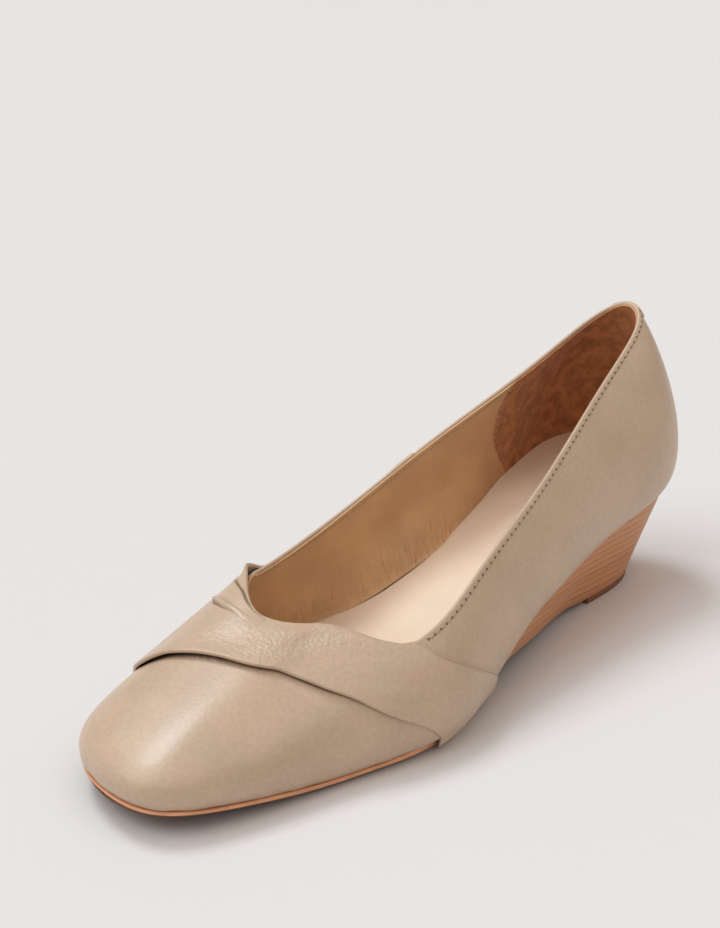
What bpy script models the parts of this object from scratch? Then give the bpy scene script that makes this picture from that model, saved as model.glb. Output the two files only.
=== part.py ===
"""Left wedge pump: hollow leather upper, pleated band over the vamp, insole, outsole, wedge and top piece.

The shoe is shaped from a last. SECTIONS says, for places round the last, where the feather edge (the line
where upper meets sole) and the topline lie, and how the leather curves between the two. Toe is +X, the
wearer's left is +Y, the floor is z = 0. The origin is the middle of the shoe's outline, on the floor.
"""
import math

import bmesh
import bpy
import numpy as np

# Driving dimensions in metres, for a European size 38
LENGTH = 0.247        # feather edge, from the back of the heel to the toe
BALL_WIDTH = 0.080    # feather edge across the ball
BACK_HEIGHT = 0.098   # topline at the back, above the floor
HEEL_RISE = 0.0406    # feather edge at the back, above the floor
UPPER_WALL = 0.0018   # outer leather with its lining
BAND_WALL = 0.0016    # folded band
TAB_WALL = 0.0010     # patch at the top of the back
INSOLE_DEPTH = 0.0032
INSOLE_PLAY = 0.0006  # between the insole's edge and the upper's wall
SHANK_DEPTH = 0.0016  # outsole under the wedge
PIECE_DEPTH = 0.0028  # top piece under the heel
SOLE_PROUD = 0.0010   # how far the outsole stands out past the feather edge
GAP = 0.0003          # between neighbouring solids
BAND_LIFT = 0.0005    # from the upper to the band, which has flat facets over a round form

HALF_BALL = BALL_WIDTH / 2

# The last, a row for each place on the way round: back, lateral side, toe, medial side.
# along and across place the feather edge, top_along, top_across and top_up the topline. Lengths along are
# shares of LENGTH, across of HALF_BALL, up of BACK_HEIGHT. bulge is how far the leather swells outwards, as a
# share of HALF_BALL, square how boxy the curve is (2 is an ellipse), turn how far it rolls over in degrees,
# and roof the share of the height gained before the leather runs on towards the throat.
SECTION_COLUMNS = ("along", "across", "top_along", "top_across", "top_up", "bulge", "square", "turn", "roof")
SECTIONS = (
    ("back",     (0.004,  0.000,  0.041,  0.000,  1.000,  0.100, 2.0, 55, 1.00)),
    ("heel_L",   (0.052,  0.540,  0.066,  0.210,  0.960,  0.110, 2.0, 55, 1.00)),
    ("seat_L",   (0.170,  0.670,  0.173,  0.345,  0.825,  0.060, 2.0, 55, 1.00)),
    ("waist_L",  (0.343,  0.720,  0.357,  0.560,  0.615,  0.083, 2.0, 55, 1.00)),
    ("arch_L",   (0.492,  0.830,  0.515,  0.720,  0.464,  0.075, 2.2, 60, 1.00)),
    ("ball_L",   (0.630,  1.040,  0.675,  0.765,  0.352,  0.075, 2.4, 70, 0.95)),
    ("tread_L",  (0.764,  0.805,  0.698,  0.490,  0.370,  0.060, 2.8, 80, 0.75)),
    ("toe_L",    (0.917,  0.560,  0.722,  0.200,  0.389,  0.050, 3.2, 86, 0.50)),
    ("corner_L", (0.996,  0.250,  0.742,  0.080,  0.397,  0.050, 3.6, 88, 0.45)),
    ("tip",      (1.000, -0.165,  0.752, -0.125,  0.401,  0.035, 3.6, 88, 0.45)),
    ("corner_M", (0.978, -0.525,  0.744, -0.310,  0.412,  0.030, 3.6, 88, 0.48)),
    ("toe_M",    (0.915, -0.815,  0.723, -0.480,  0.416,  0.050, 3.2, 86, 0.47)),
    ("tread_M",  (0.800, -0.965,  0.694, -0.640,  0.412,  0.063, 2.8, 80, 0.77)),
    ("ball_M",   (0.690, -0.963,  0.661, -0.720,  0.397,  0.075, 2.4, 70, 0.95)),
    ("arch_M",   (0.515, -0.780,  0.520, -0.770,  0.456,  0.085, 2.2, 60, 1.00)),
    ("waist_M",  (0.354, -0.550,  0.361, -0.595,  0.631,  0.100, 2.0, 55, 1.00)),
    ("seat_M",   (0.170, -0.575,  0.173, -0.380,  0.822,  0.080, 2.0, 55, 1.00)),
    ("heel_M",   (0.052, -0.545,  0.064, -0.240,  0.948,  0.100, 2.0, 55, 1.00)),
)
SECTION_NAMES = [name for name, values in SECTIONS]

# Side view of the sole, a row for each station: share of LENGTH, then share of HEEL_RISE.
FEATHER_SIDE = ((0.00, 1.000), (0.10, 0.887), (0.24, 0.755), (0.385, 0.547), (0.53, 0.224),
                (0.65, 0.103), (0.77, 0.081), (0.89, 0.145), (1.02, 0.242))
UNDER_SIDE = ((0.22, 0.050), (0.344, 0.121), (0.445, 0.172), (0.547, 0.060), (0.62, 0.006), (0.65, -0.004),
              (0.76, -0.004), (0.81, 0.009), (0.91, 0.080), (1.02, 0.165))

# The band over the vamp, a row for each place from the lateral to the medial feather edge. The front and the
# rear edge each have a place among SECTIONS (5.5 is halfway from the sixth to the seventh) and a height from
# the feather edge (0) to the topline (1).
BAND_COLUMNS = ("across", "front_place", "front_height", "rear_place", "rear_height")
BAND = (
    (0.00,  5.11, 0.045,  4.20, 0.045),
    (0.06,  5.32, 0.160,  4.42, 0.190),
    (0.12,  5.58, 0.290,  4.65, 0.400),
    (0.20,  6.00, 0.540,  4.87, 0.690),
    (0.27,  6.40, 0.690,  4.98, 0.930),
    (0.32,  6.75, 0.775,  5.35, 1.000),
    (0.40,  7.40, 0.860,  6.20, 1.000),
    (0.50,  8.40, 0.895,  7.80, 1.000),
    (0.58,  9.20, 0.880,  9.30, 1.000),
    (0.66, 10.00, 0.830, 10.80, 1.000),
    (0.74, 10.75, 0.710, 12.00, 1.000),
    (0.80, 11.20, 0.580, 12.90, 1.000),
    (0.86, 11.50, 0.420, 13.45, 0.790),
    (0.92, 11.70, 0.220, 13.90, 0.440),
    (1.00, 11.85, 0.045, 14.42, 0.045),
)
COVERED_TOP = 0.955            # height of the upper's own topline where the band covers it
COVERED_PLACES = (5.3, 12.2)   # between these places among SECTIONS
COVER_RAMP = 0.45              # places over which it drops

# Pleats gathered on the medial side of the band, a row for each fold: where its crest lies between the band's
# front edge (0) and rear edge (1), at the throat's middle, at the medial throat and low on the side, and the
# crest's height and half width in metres.
PLEAT_COLUMNS = ("middle", "throat", "side", "height", "width")
PLEATS = (
    (1.00, 0.82, 0.74, 0.0015, 0.0045),
    (0.88, 0.52, 0.45, 0.0022, 0.0026),
    (0.78, 0.40, 0.34, 0.0012, 0.0030),
)
PLEAT_PLACES = (0.55, 0.78, 0.94)   # across the band, where the three columns apply
FLARE = 0.0026        # how far the rear edge stands off at the medial throat
FLARE_PLACE = 0.79
FLARE_WIDTH = 0.055

# The patch at the top of the back
TAB_REACH = 0.0095    # to either side along the girth of the feather edge
TAB_DEPTH = 0.125     # share of the height from feather edge to topline
TAB_TOP = 0.985       # height of its upper edge in the same share
TAB_SIDE = 0.12       # its depth at the ends, as a share of its depth in the middle

# The wedge and top piece
WEDGE_LEAN = 0.009        # how far the back leans forward on its way down
WEDGE_TAPER = 0.38        # how much narrower it is at the floor, at the back
TAPER_REACH = (0.25, 0.72)   # where the taper starts and is full, as shares of the way to the back
WEDGE_FRONT = 0.150       # where it runs out under the ball
WEDGE_PROUD = 0.0002      # how far its upper edge stands out past the feather edge
WEDGE_THIN = 0.0012       # its depth there
PIECE_FRONT = 0.043       # front end of the top piece

# Steps over which slopes are taken: a length along the girth, and a share of the height
SLOPE_STEP = 0.0005
RISE_STEP = 0.01

# Counts of mesh divisions
UPPER_ROUND, UPPER_RISE = 88, 14
BAND_LONG, BAND_WIDE = 44, 14
TAB_WIDE, TAB_HIGH = 15, 5
SLAB_LONG, SLAB_WIDE = 30, 6
OUTLINE_SAMPLES = 400
MERGE = 1e-6                      # points closer than this are one
SHARP_ANGLE = math.radians(40)    # edges sharper than this aren't smoothed


def closed_spline(knots, values, period):
    """Smooth closed curve through the values at the knots: a cubic with continuous curvature."""
    count = len(knots)
    step = np.diff(np.append(knots, knots[0] + period))
    rise = (np.roll(values, -1, 0) - values) / step[:, None]
    system = np.zeros((count, count))
    right = np.zeros_like(values)
    for row in range(count):
        before = row - 1
        after = (row + 1) % count
        system[row, before] += step[before]
        system[row, row] += 2 * (step[before] + step[row])
        system[row, after] += step[row]
        right[row] = 6 * (rise[row] - rise[before])
    bend = np.linalg.solve(system, right)

    def curve(place):
        place = np.asarray(place, float)
        wrapped = np.mod(place - knots[0], period) + knots[0]
        index = np.clip(np.searchsorted(knots, wrapped, side="right") - 1, 0, count - 1)
        after = (index + 1) % count
        span = step[index][..., None]
        left = (wrapped - knots[index])[..., None]
        rest = span - left
        return (bend[index] * rest ** 3 + bend[after] * left ** 3) / (6 * span) \
            + (values[index] / span - bend[index] * span / 6) * rest \
            + (values[after] / span - bend[after] * span / 6) * left
    return curve


def steady_curve(xs, ys):
    """Smooth curve through a table that never swings past its rows: a cubic with limited slopes."""
    xs = np.asarray(xs, float)
    ys = np.asarray(ys, float)
    slope = np.diff(ys) / np.diff(xs)
    lean = np.zeros_like(ys)
    before, after = slope[:-1], slope[1:]
    same = before * after > 0
    lean[1:-1][same] = 2 * before[same] * after[same] / (before[same] + after[same])
    lean[0], lean[-1] = slope[0], slope[-1]

    def curve(x):
        x = np.clip(np.asarray(x, float), xs[0], xs[-1])
        index = np.clip(np.searchsorted(xs, x, side="right") - 1, 0, len(xs) - 2)
        width = xs[index + 1] - xs[index]
        t = (x - xs[index]) / width
        return ys[index] * (1 + 2 * t) * (1 - t) ** 2 + ys[index + 1] * t * t * (3 - 2 * t) \
            + width * t * (1 - t) * (lean[index] * (1 - t) - lean[index + 1] * t)
    return curve


def ease(low, high, x):
    """0 below low, 1 above high, and a smooth rise between."""
    t = np.clip((x - low) / (high - low), 0, 1)
    return t * t * (3 - 2 * t)


class Last:
    """The shoe's outer form, as a surface round the foot. A place counts through SECTIONS, 0 at the back."""

    def __init__(self):
        table = np.array([values for name, values in SECTIONS], float)
        scale = {"along": LENGTH, "across": HALF_BALL, "top_along": LENGTH, "top_across": HALF_BALL,
                 "top_up": BACK_HEIGHT, "bulge": HALF_BALL, "turn": math.radians(1)}
        table *= [scale.get(column, 1.0) for column in SECTION_COLUMNS]
        edge = table[:, :2]
        steps = np.linalg.norm(np.roll(edge, -1, 0) - edge, axis=1)
        self.knots = np.concatenate([[0], np.cumsum(steps)[:-1]])
        self.round = steps.sum()
        self.spline = closed_spline(self.knots, table, self.round)
        self.feather_height = steady_curve(*np.array(FEATHER_SIDE).T * [[LENGTH], [HEEL_RISE]])
        self.under_height = steady_curve(*np.array(UNDER_SIDE).T * [[LENGTH], [HEEL_RISE]])

    def girth(self, place):
        """Distance round the feather edge to a place among SECTIONS."""
        return np.interp(place, np.arange(len(self.knots) + 1), np.append(self.knots, self.round))

    def outline(self, girth, grow=0.0):
        """Feather edge seen from above, pushed outwards by grow, and its outward direction."""
        here = self.spline(girth)[..., :2]
        girth = np.asarray(girth)
        ahead = (self.spline(girth + SLOPE_STEP) - self.spline(girth - SLOPE_STEP))[..., :2]
        ahead /= np.linalg.norm(ahead, axis=-1, keepdims=True)
        out = np.stack([-ahead[..., 1], ahead[..., 0]], -1)
        return here + out * np.asarray(grow)[..., None], out

    def wall(self, girth, height):
        """Point on the outer surface: height 0 is the feather edge and 1 the topline."""
        values = self.spline(girth)
        foot, out = self.outline(girth)
        foot_up = self.feather_height(foot[..., 0])
        bulge, power, turn, roof = (values[..., column] for column in (5, 6, 7, 8))
        power = 2 / power
        angle = height * turn
        inward = (1 - np.cos(angle) ** power) / (1 - np.cos(turn) ** power)
        upward = np.sin(angle) ** power / np.sin(turn) ** power
        swell = np.clip(upward, 0, 1) ** 0.55
        flat = foot + (values[..., 2:4] - foot) * inward[..., None]
        flat = flat + out * (4 * bulge * swell * (1 - swell))[..., None]
        rise = values[..., 4] - foot_up
        up = foot_up + rise * (roof + (1 - roof) * inward ** 1.15) * upward
        return np.concatenate([flat, up[..., None]], -1)

    def raised(self, girth, height, lift):
        """Point on the outer surface moved outwards, square to it, by lift."""
        low = np.clip(height - RISE_STEP, RISE_STEP / 2, 1)
        high = np.clip(height + RISE_STEP, RISE_STEP, 1)
        along = self.wall(girth + SLOPE_STEP, height) - self.wall(girth - SLOPE_STEP, height)
        rising = self.wall(girth, high) - self.wall(girth, low)
        out = np.cross(rising, along)
        out /= np.linalg.norm(out, axis=-1, keepdims=True)
        return self.wall(girth, height) + out * np.asarray(lift)[..., None]


LAST = Last()


def material(name, colour, roughness):
    """Principled material for one sub-part."""
    made = bpy.data.materials.new(name)
    made.use_nodes = True
    shader = made.node_tree.nodes["Principled BSDF"]
    shader.inputs["Base Color"].default_value = (*colour, 1)
    shader.inputs["Roughness"].default_value = roughness
    made.diffuse_color = (*colour, 1)
    return made


def add_object(name, mesh, collection, look):
    """Object for a mesh, in the shoe's collection, with its material."""
    made = bpy.data.objects.new(name, mesh)
    made.data.materials.append(look)
    collection.objects.link(made)
    return made


def sheet_mesh(name, points, closed):
    """Open surface through a grid of points, rows round the shoe and columns up it, facing outwards."""
    rows, columns = points.shape[:2]
    index = np.arange(rows * columns).reshape(rows, columns)
    first, second = (index, np.roll(index, -1, 0)) if closed else (index[:-1], index[1:])
    faces = np.stack([first[:, :-1], first[:, 1:], second[:, 1:], second[:, :-1]], -1).reshape(-1, 4)
    mesh = bpy.data.meshes.new(name)
    mesh.from_pydata(points.reshape(-1, 3).tolist(), [], faces.tolist())
    mesh.update()
    mesh.shade_smooth()
    return mesh


def add_wall(made, depth):
    """Solidify modifier that gives an open sheet its thickness, inwards."""
    solid = made.modifiers.new("wall", "SOLIDIFY")
    solid.thickness = depth
    solid.offset = -1.0
    solid.use_even_offset = True
    solid.thickness_clamp = 1.0
    return made


def slab_mesh(name, top, bottom):
    """Closed slab between two grids of points of one size, rows heel to toe, columns lateral to medial."""
    rows, columns = top.shape[:2]
    points = np.concatenate([bottom.reshape(-1, 3), top.reshape(-1, 3)])
    index = np.arange(rows * columns).reshape(rows, columns)
    quad = np.stack([index[:-1, :-1], index[1:, :-1], index[1:, 1:], index[:-1, 1:]], -1).reshape(-1, 4)
    low = np.concatenate([index[:-1, 0], index[-1, :-1], index[:0:-1, -1], index[0, :0:-1]])
    high = low + rows * columns
    side = np.stack([low, high, np.roll(high, -1), np.roll(low, -1)], -1)
    faces = np.concatenate([quad, quad[:, ::-1] + rows * columns, side])
    mesh = bpy.data.meshes.new(name)
    mesh.from_pydata(points.tolist(), [], faces.tolist())
    shaped = bmesh.new()
    shaped.from_mesh(mesh)
    bmesh.ops.remove_doubles(shaped, verts=shaped.verts, dist=MERGE)
    bmesh.ops.dissolve_degenerate(shaped, edges=shaped.edges, dist=MERGE)
    bmesh.ops.recalc_face_normals(shaped, faces=shaped.faces)
    shaped.to_mesh(mesh)
    shaped.free()
    mesh.shade_smooth()
    mesh.set_sharp_from_angle(angle=SHARP_ANGLE)
    return mesh


def girth_at(stop, side, end):
    """Distance round the feather edge where it meets a distance along the shoe, on one side of it.

    side is 1 for the lateral and -1 for the medial side, and end is 0 or the girth of the toe on that side.
    """
    if stop is None:
        return end
    toe = LAST.girth(SECTION_NAMES.index("tip")) - (0 if side > 0 else LAST.round)
    girths = np.linspace(0, toe, OUTLINE_SAMPLES)
    return side * np.interp(stop, LAST.outline(girths)[0][:, 0], side * girths)


def rungs(stops, grow, shape=None):
    """Grid over the sole with a row at each stop along the shoe and more between, lateral to medial.

    stops are distances along the shoe where the feather edge is met, or None for the back and the toe.
    """
    tip = LAST.girth(SECTION_NAMES.index("tip"))
    edges = []
    for side, toe in ((1, tip), (-1, tip - LAST.round)):
        marks = [girth_at(stops[0], side, 0)] + [girth_at(stop, side, toe) for stop in stops[1:]]
        if side > 0:
            counts = [max(1, round(SLAB_LONG * (after - before) / tip))
                      for before, after in zip(marks, marks[1:])]
        runs = [np.linspace(before, after, count + 1)[1:]
                for before, after, count in zip(marks, marks[1:], counts)]
        edge = LAST.outline(np.concatenate([marks[:1], *runs]), grow)[0]
        edges.append(edge if shape is None else shape(edge))
    across = np.linspace(0, 1, SLAB_WIDE + 1)[None, :, None]
    return edges[0][:, None] * (1 - across) + edges[1][:, None] * across


def with_height(flat, height):
    """Grid of points in space from a flat grid and the height at each of its points."""
    return np.concatenate([flat, np.broadcast_to(height, flat.shape[:-1])[..., None]], -1)


def wedge_foot(edge):
    """Outline of the wedge where it meets the floor: leaning forward and narrower towards the back."""
    behind = np.clip(1 - edge[..., 0] / WEDGE_FRONT, 0, 1)
    along = edge[..., 0] + WEDGE_LEAN * behind
    across = edge[..., 1] * (1 - WEDGE_TAPER * ease(*TAPER_REACH, behind))
    return np.stack([along, across], -1)


def under(x):
    """Height of the underside above the floor, flat on it below the ball."""
    return np.maximum(LAST.under_height(x), 0)


def shank_top(x):
    """Height of the outsole's upper face under the wedge, sunk where the wedge runs out."""
    return np.minimum(under(x) + SHANK_DEPTH, LAST.feather_height(x) - WEDGE_THIN - 2 * GAP)


def upper_top(place):
    """Height of the upper's topline, lower where the band covers it."""
    start, stop = COVERED_PLACES
    covered = ease(start - COVER_RAMP, start, place) * (1 - ease(stop, stop + COVER_RAMP, place))
    return 1 - (1 - COVERED_TOP) * covered


def build_upper(collection):
    """Vamp and quarters in one hollow wall, open at the collar and underneath."""
    place = np.linspace(0, len(SECTIONS), UPPER_ROUND, endpoint=False)[:, None]
    rise = np.linspace(0, 1, UPPER_RISE)[None]
    height = rise * upper_top(place)
    points = LAST.wall(LAST.girth(place) + 0 * height, height)
    look = material("leather_taupe", (0.45, 0.36, 0.28), 0.45)
    made = add_object("upper", sheet_mesh("upper", points, closed=True), collection, look)
    return add_wall(made, UPPER_WALL)


def pleat_lift(across, share, width):
    """Height of the gathered pleats and of the flared rear edge over the band's even surface."""
    start, full, end = PLEAT_PLACES
    strength = ease(start, full, across) * (1 - ease(full, end, across))
    lift = FLARE * np.exp(-((across - FLARE_PLACE) / FLARE_WIDTH) ** 2) * share ** 4
    for middle, throat, side, height, half_width in PLEATS:
        crest = steady_curve(PLEAT_PLACES, (middle, throat, side))(across)
        away = (share - crest) * width / half_width
        lift = lift + height * strength * np.exp(-away ** 2)
    return lift


def build_vamp_band(collection):
    """Folded band over the vamp, from the lateral to the medial feather edge, pleated on the medial side."""
    table = np.array(BAND)
    across = np.linspace(0, 1, BAND_LONG)[:, None]
    front_place, front_height, rear_place, rear_height = (
        steady_curve(table[:, 0], table[:, column])(across) for column in range(1, 5))
    share = np.linspace(0, 1, BAND_WIDE)[None]
    place = front_place + (rear_place - front_place) * share
    height = front_height + (rear_height - front_height) * share
    girth = LAST.girth(place)
    flat = LAST.wall(girth, height)
    width = np.linalg.norm(np.diff(flat, axis=1), axis=-1).sum(1)[:, None]
    points = LAST.raised(girth, height, BAND_LIFT + BAND_WALL + pleat_lift(across, share, width))
    look = material("leather_band", (0.45, 0.36, 0.28), 0.45)
    made = add_object("vamp_band", sheet_mesh("vamp_band", points, closed=False), collection, look)
    return add_wall(made, BAND_WALL)


def build_heel_tab(collection):
    """Half-round patch at the top of the back."""
    sideways = np.linspace(-1, 1, TAB_WIDE)[:, None]
    down = np.linspace(0, 1, TAB_HIGH)[None]
    depth = TAB_DEPTH * (TAB_SIDE + (1 - TAB_SIDE) * np.sqrt(1 - sideways ** 2))
    girth = TAB_REACH * np.sin(sideways * math.pi / 2) + 0 * down
    points = LAST.raised(girth, TAB_TOP - depth * (1 - down), np.full(girth.shape, BAND_LIFT + TAB_WALL))
    look = material("leather_tab", (0.44, 0.35, 0.27), 0.45)
    made = add_object("heel_tab", sheet_mesh("heel_tab", points, closed=False), collection, look)
    return add_wall(made, TAB_WALL)


def build_insole(collection):
    """Footbed that fills the bottom of the upper, with its sock on top."""
    flat = rungs((None, None), -(UPPER_WALL + INSOLE_PLAY))
    feather = LAST.feather_height(flat[..., 0])
    top = with_height(flat, feather + INSOLE_DEPTH)
    bottom = with_height(flat, feather)
    look = material("sock_beige", (0.66, 0.52, 0.36), 0.6)
    return add_object("insole", slab_mesh("insole", top, bottom), collection, look)


def build_outsole(collection):
    """Thin sole from the top piece to the toe, full depth under the forefoot and thin under the wedge."""
    stops = (PIECE_FRONT + 3 * GAP, WEDGE_FRONT + GAP, WEDGE_FRONT + 3 * GAP, None)
    flat = rungs(stops, SOLE_PROUD, wedge_foot)
    along = flat[..., 0]
    below = under(along)
    forefoot = along > WEDGE_FRONT + 2 * GAP
    above = np.where(forefoot, LAST.feather_height(along) - GAP, shank_top(along))
    look = material("sole_tan", (0.45, 0.21, 0.09), 0.5)
    mesh = slab_mesh("outsole", with_height(flat, above), with_height(flat, below))
    return add_object("outsole", mesh, collection, look)


def build_wedge(collection):
    """Stacked wedge between outsole and upper, running out to a thin edge under the ball."""
    flat = rungs((None, PIECE_FRONT + GAP, PIECE_FRONT + 2 * GAP, WEDGE_FRONT), WEDGE_PROUD)
    foot = wedge_foot(flat)
    on_piece = flat[..., 0] < PIECE_FRONT + 1.5 * GAP
    foot_up = np.where(on_piece, PIECE_DEPTH, shank_top(foot[..., 0])) + GAP
    top = with_height(flat, LAST.feather_height(flat[..., 0]) - GAP)
    look = material("stacked_wood", (0.33, 0.17, 0.09), 0.5)
    return add_object("wedge", slab_mesh("wedge", top, with_height(foot, foot_up)), collection, look)


def build_top_piece(collection):
    """Lift under the back of the wedge, the part that touches the floor at the heel."""
    flat = rungs((None, PIECE_FRONT), 0.0, wedge_foot)
    look = material("lift_brown", (0.16, 0.08, 0.045), 0.6)
    mesh = slab_mesh("top_piece", with_height(flat, PIECE_DEPTH), with_height(flat, 0.0))
    return add_object("top_piece", mesh, collection, look)


def centre(parts):
    """Move the shoe so that the origin is the middle of its outline, on the floor."""
    bpy.context.view_layer.update()
    graph = bpy.context.evaluated_depsgraph_get()
    corners = np.array([corner[:] for part in parts for corner in part.evaluated_get(graph).bound_box])
    middle = (corners.min(0) + corners.max(0)) / 2
    for part in parts:
        part.location = (-middle[0], -middle[1], 0)


def main():
    for old in list(bpy.data.objects):
        bpy.data.objects.remove(old, do_unlink=True)
    collection = bpy.data.collections.new("heeled_shoe")
    bpy.context.scene.collection.children.link(collection)
    builders = (build_upper, build_vamp_band, build_heel_tab, build_insole, build_outsole, build_wedge,
                build_top_piece)
    centre([build(collection) for build in builders])


main()
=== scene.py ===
import math

import bpy
import numpy as np
from mathutils import Matrix, Vector


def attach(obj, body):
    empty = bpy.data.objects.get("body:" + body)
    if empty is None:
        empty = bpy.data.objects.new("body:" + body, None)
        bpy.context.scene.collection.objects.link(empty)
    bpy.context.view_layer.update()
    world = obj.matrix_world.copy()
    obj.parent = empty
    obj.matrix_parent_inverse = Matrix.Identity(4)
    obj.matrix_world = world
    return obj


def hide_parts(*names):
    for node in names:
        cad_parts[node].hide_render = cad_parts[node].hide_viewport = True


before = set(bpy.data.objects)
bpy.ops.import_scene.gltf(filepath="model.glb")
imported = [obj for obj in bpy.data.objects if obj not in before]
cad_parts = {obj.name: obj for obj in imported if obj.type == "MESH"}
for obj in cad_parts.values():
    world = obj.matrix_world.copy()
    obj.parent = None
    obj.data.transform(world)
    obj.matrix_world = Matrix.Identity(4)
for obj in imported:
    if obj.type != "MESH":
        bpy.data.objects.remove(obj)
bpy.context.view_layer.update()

bl_info = {
    "name": "Wedge Pump",
    "version": (1, 0, 0),
    "blender": (4, 5, 0),
    "location": "View3D > Sidebar > Shoe",
    "description": "Dresses the packed frame of a left wedge pump in leather, wood and thread",
    "category": "Object",
}

ROOT = "root"

# The last, in metres, as in the frame. A row for each place on the way round: back, lateral side, toe and
# medial side. along and across place the feather edge, where upper meets sole, and the next three the
# topline. bulge is how far the leather swells outwards, square how boxy its curve is (2 is an ellipse), turn
# how far it rolls over in degrees, roof the share of the height gained before it runs on towards the throat.
LENGTH = 0.247
HALF_BALL = 0.040
BACK_HEIGHT = 0.098
HEEL_RISE = 0.0406
LAST_ROWS = (
    # along, across, top_along, top_across, top_up, bulge, square, turn, roof
    (0.004,  0.000,  0.041,  0.000,  1.000,  0.100, 2.0, 55, 1.00),   # 0 back
    (0.052,  0.540,  0.066,  0.210,  0.960,  0.110, 2.0, 55, 1.00),
    (0.170,  0.670,  0.173,  0.345,  0.825,  0.060, 2.0, 55, 1.00),
    (0.343,  0.720,  0.357,  0.560,  0.615,  0.083, 2.0, 55, 1.00),
    (0.492,  0.830,  0.515,  0.720,  0.464,  0.075, 2.2, 60, 1.00),   # 4 lateral arch
    (0.630,  0.982,  0.645,  0.765,  0.342,  0.075, 2.5, 70, 0.95),
    (0.764,  0.805,  0.698,  0.450,  0.370,  0.060, 3.3, 80, 0.75),
    (0.917,  0.560,  0.722,  0.200,  0.389,  0.050, 4.1, 86, 0.50),
    (0.996,  0.250,  0.742,  0.080,  0.397,  0.050, 4.9, 88, 0.45),
    (1.000, -0.165,  0.752, -0.125,  0.401,  0.035, 5.0, 88, 0.45),   # 9 tip
    (0.978, -0.525,  0.744, -0.310,  0.412,  0.030, 4.1, 88, 0.47),
    (0.915, -0.815,  0.723, -0.480,  0.416,  0.044, 3.5, 86, 0.44),
    (0.800, -0.965,  0.694, -0.640,  0.412,  0.035, 2.1, 80, 0.64),
    (0.690, -0.963,  0.661, -0.720,  0.397,  0.070, 2.1, 70, 0.84),
    (0.515, -0.780,  0.520, -0.770,  0.456,  0.085, 2.2, 60, 1.00),   # 14 medial arch
    (0.354, -0.550,  0.361, -0.595,  0.631,  0.100, 2.0, 55, 1.00),
    (0.170, -0.575,  0.173, -0.380,  0.822,  0.080, 2.0, 55, 1.00),
    (0.052, -0.545,  0.064, -0.240,  0.948,  0.100, 2.0, 55, 1.00),
)
PLACES = len(LAST_ROWS)
TIP = 9
FEATHER_SIDE = ((0.00, 1.000), (0.10, 0.887), (0.24, 0.755), (0.385, 0.547), (0.53, 0.224),
                (0.65, 0.103), (0.77, 0.081), (0.89, 0.145), (1.02, 0.242))
UNDER_SIDE = ((0.22, 0.050), (0.344, 0.121), (0.445, 0.172), (0.547, 0.060), (0.62, 0.006), (0.65, -0.004),
              (0.76, -0.004), (0.81, 0.009), (0.91, 0.080), (1.02, 0.165))

# The band: where its front and rear edges lie on the last, by place and by height from the feather edge (0)
# to the topline (1)
BAND_ROWS = (
    # across, front_place, front_height, rear_place, rear_height
    (0.00,  5.11, 0.010,  4.20, 0.010),
    (0.06,  5.32, 0.160,  4.42, 0.190),
    (0.12,  5.58, 0.290,  4.65, 0.400),
    (0.20,  6.00, 0.540,  4.87, 0.690),
    (0.27,  6.40, 0.690,  4.98, 0.930),
    (0.32,  6.75, 0.775,  5.35, 1.000),
    (0.40,  7.40, 0.860,  6.20, 1.000),
    (0.50,  8.40, 0.895,  7.80, 1.000),
    (0.58,  9.20, 0.880,  9.30, 1.000),
    (0.66, 10.00, 0.830, 10.80, 1.000),
    (0.74, 10.75, 0.710, 12.00, 1.000),
    (0.80, 11.20, 0.580, 12.90, 1.000),
    (0.86, 11.50, 0.420, 13.45, 0.790),
    (0.92, 11.70, 0.220, 13.90, 0.440),
    (1.00, 11.85, 0.010, 14.42, 0.010),
)
# How far the band's two edges stand past those lines, as shares of its width, and how high its face stands
# over the last there
BAND_EDGES = (
    # across, front_share, rear_share, front_mm, rear_mm
    (0.00, -0.050, 1.000, 0.7, 0.7),
    (0.06, -0.065, 0.970, 1.1, 1.1),
    (0.13, -0.085, 0.935, 1.6, 1.6),
    (0.21, -0.055, 0.895, 1.8, 1.6),
    (0.30,  0.010, 0.950, 1.9, 1.0),
    (0.38,  0.070, 0.960, 2.0, 0.5),
    (0.46,  0.100, 0.970, 2.2, 0.4),
    (0.53,  0.105, 0.975, 2.5, 0.4),
    (0.60, -0.020, 0.990, 2.6, 0.6),
    (0.66, -0.100, 1.000, 2.6, 1.0),
    (0.71, -0.110, 1.000, 2.3, 1.6),
    (0.745, -0.100, 1.000, 2.1, 3.0),
    (0.78, -0.090, 1.000, 1.9, 3.5),
    (0.805, -0.080, 1.000, 1.8, 1.6),
    (0.84, -0.060, 1.000, 1.7, 0.8),
    (1.00,  0.000, 1.000, 0.9, 0.9),
)
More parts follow.
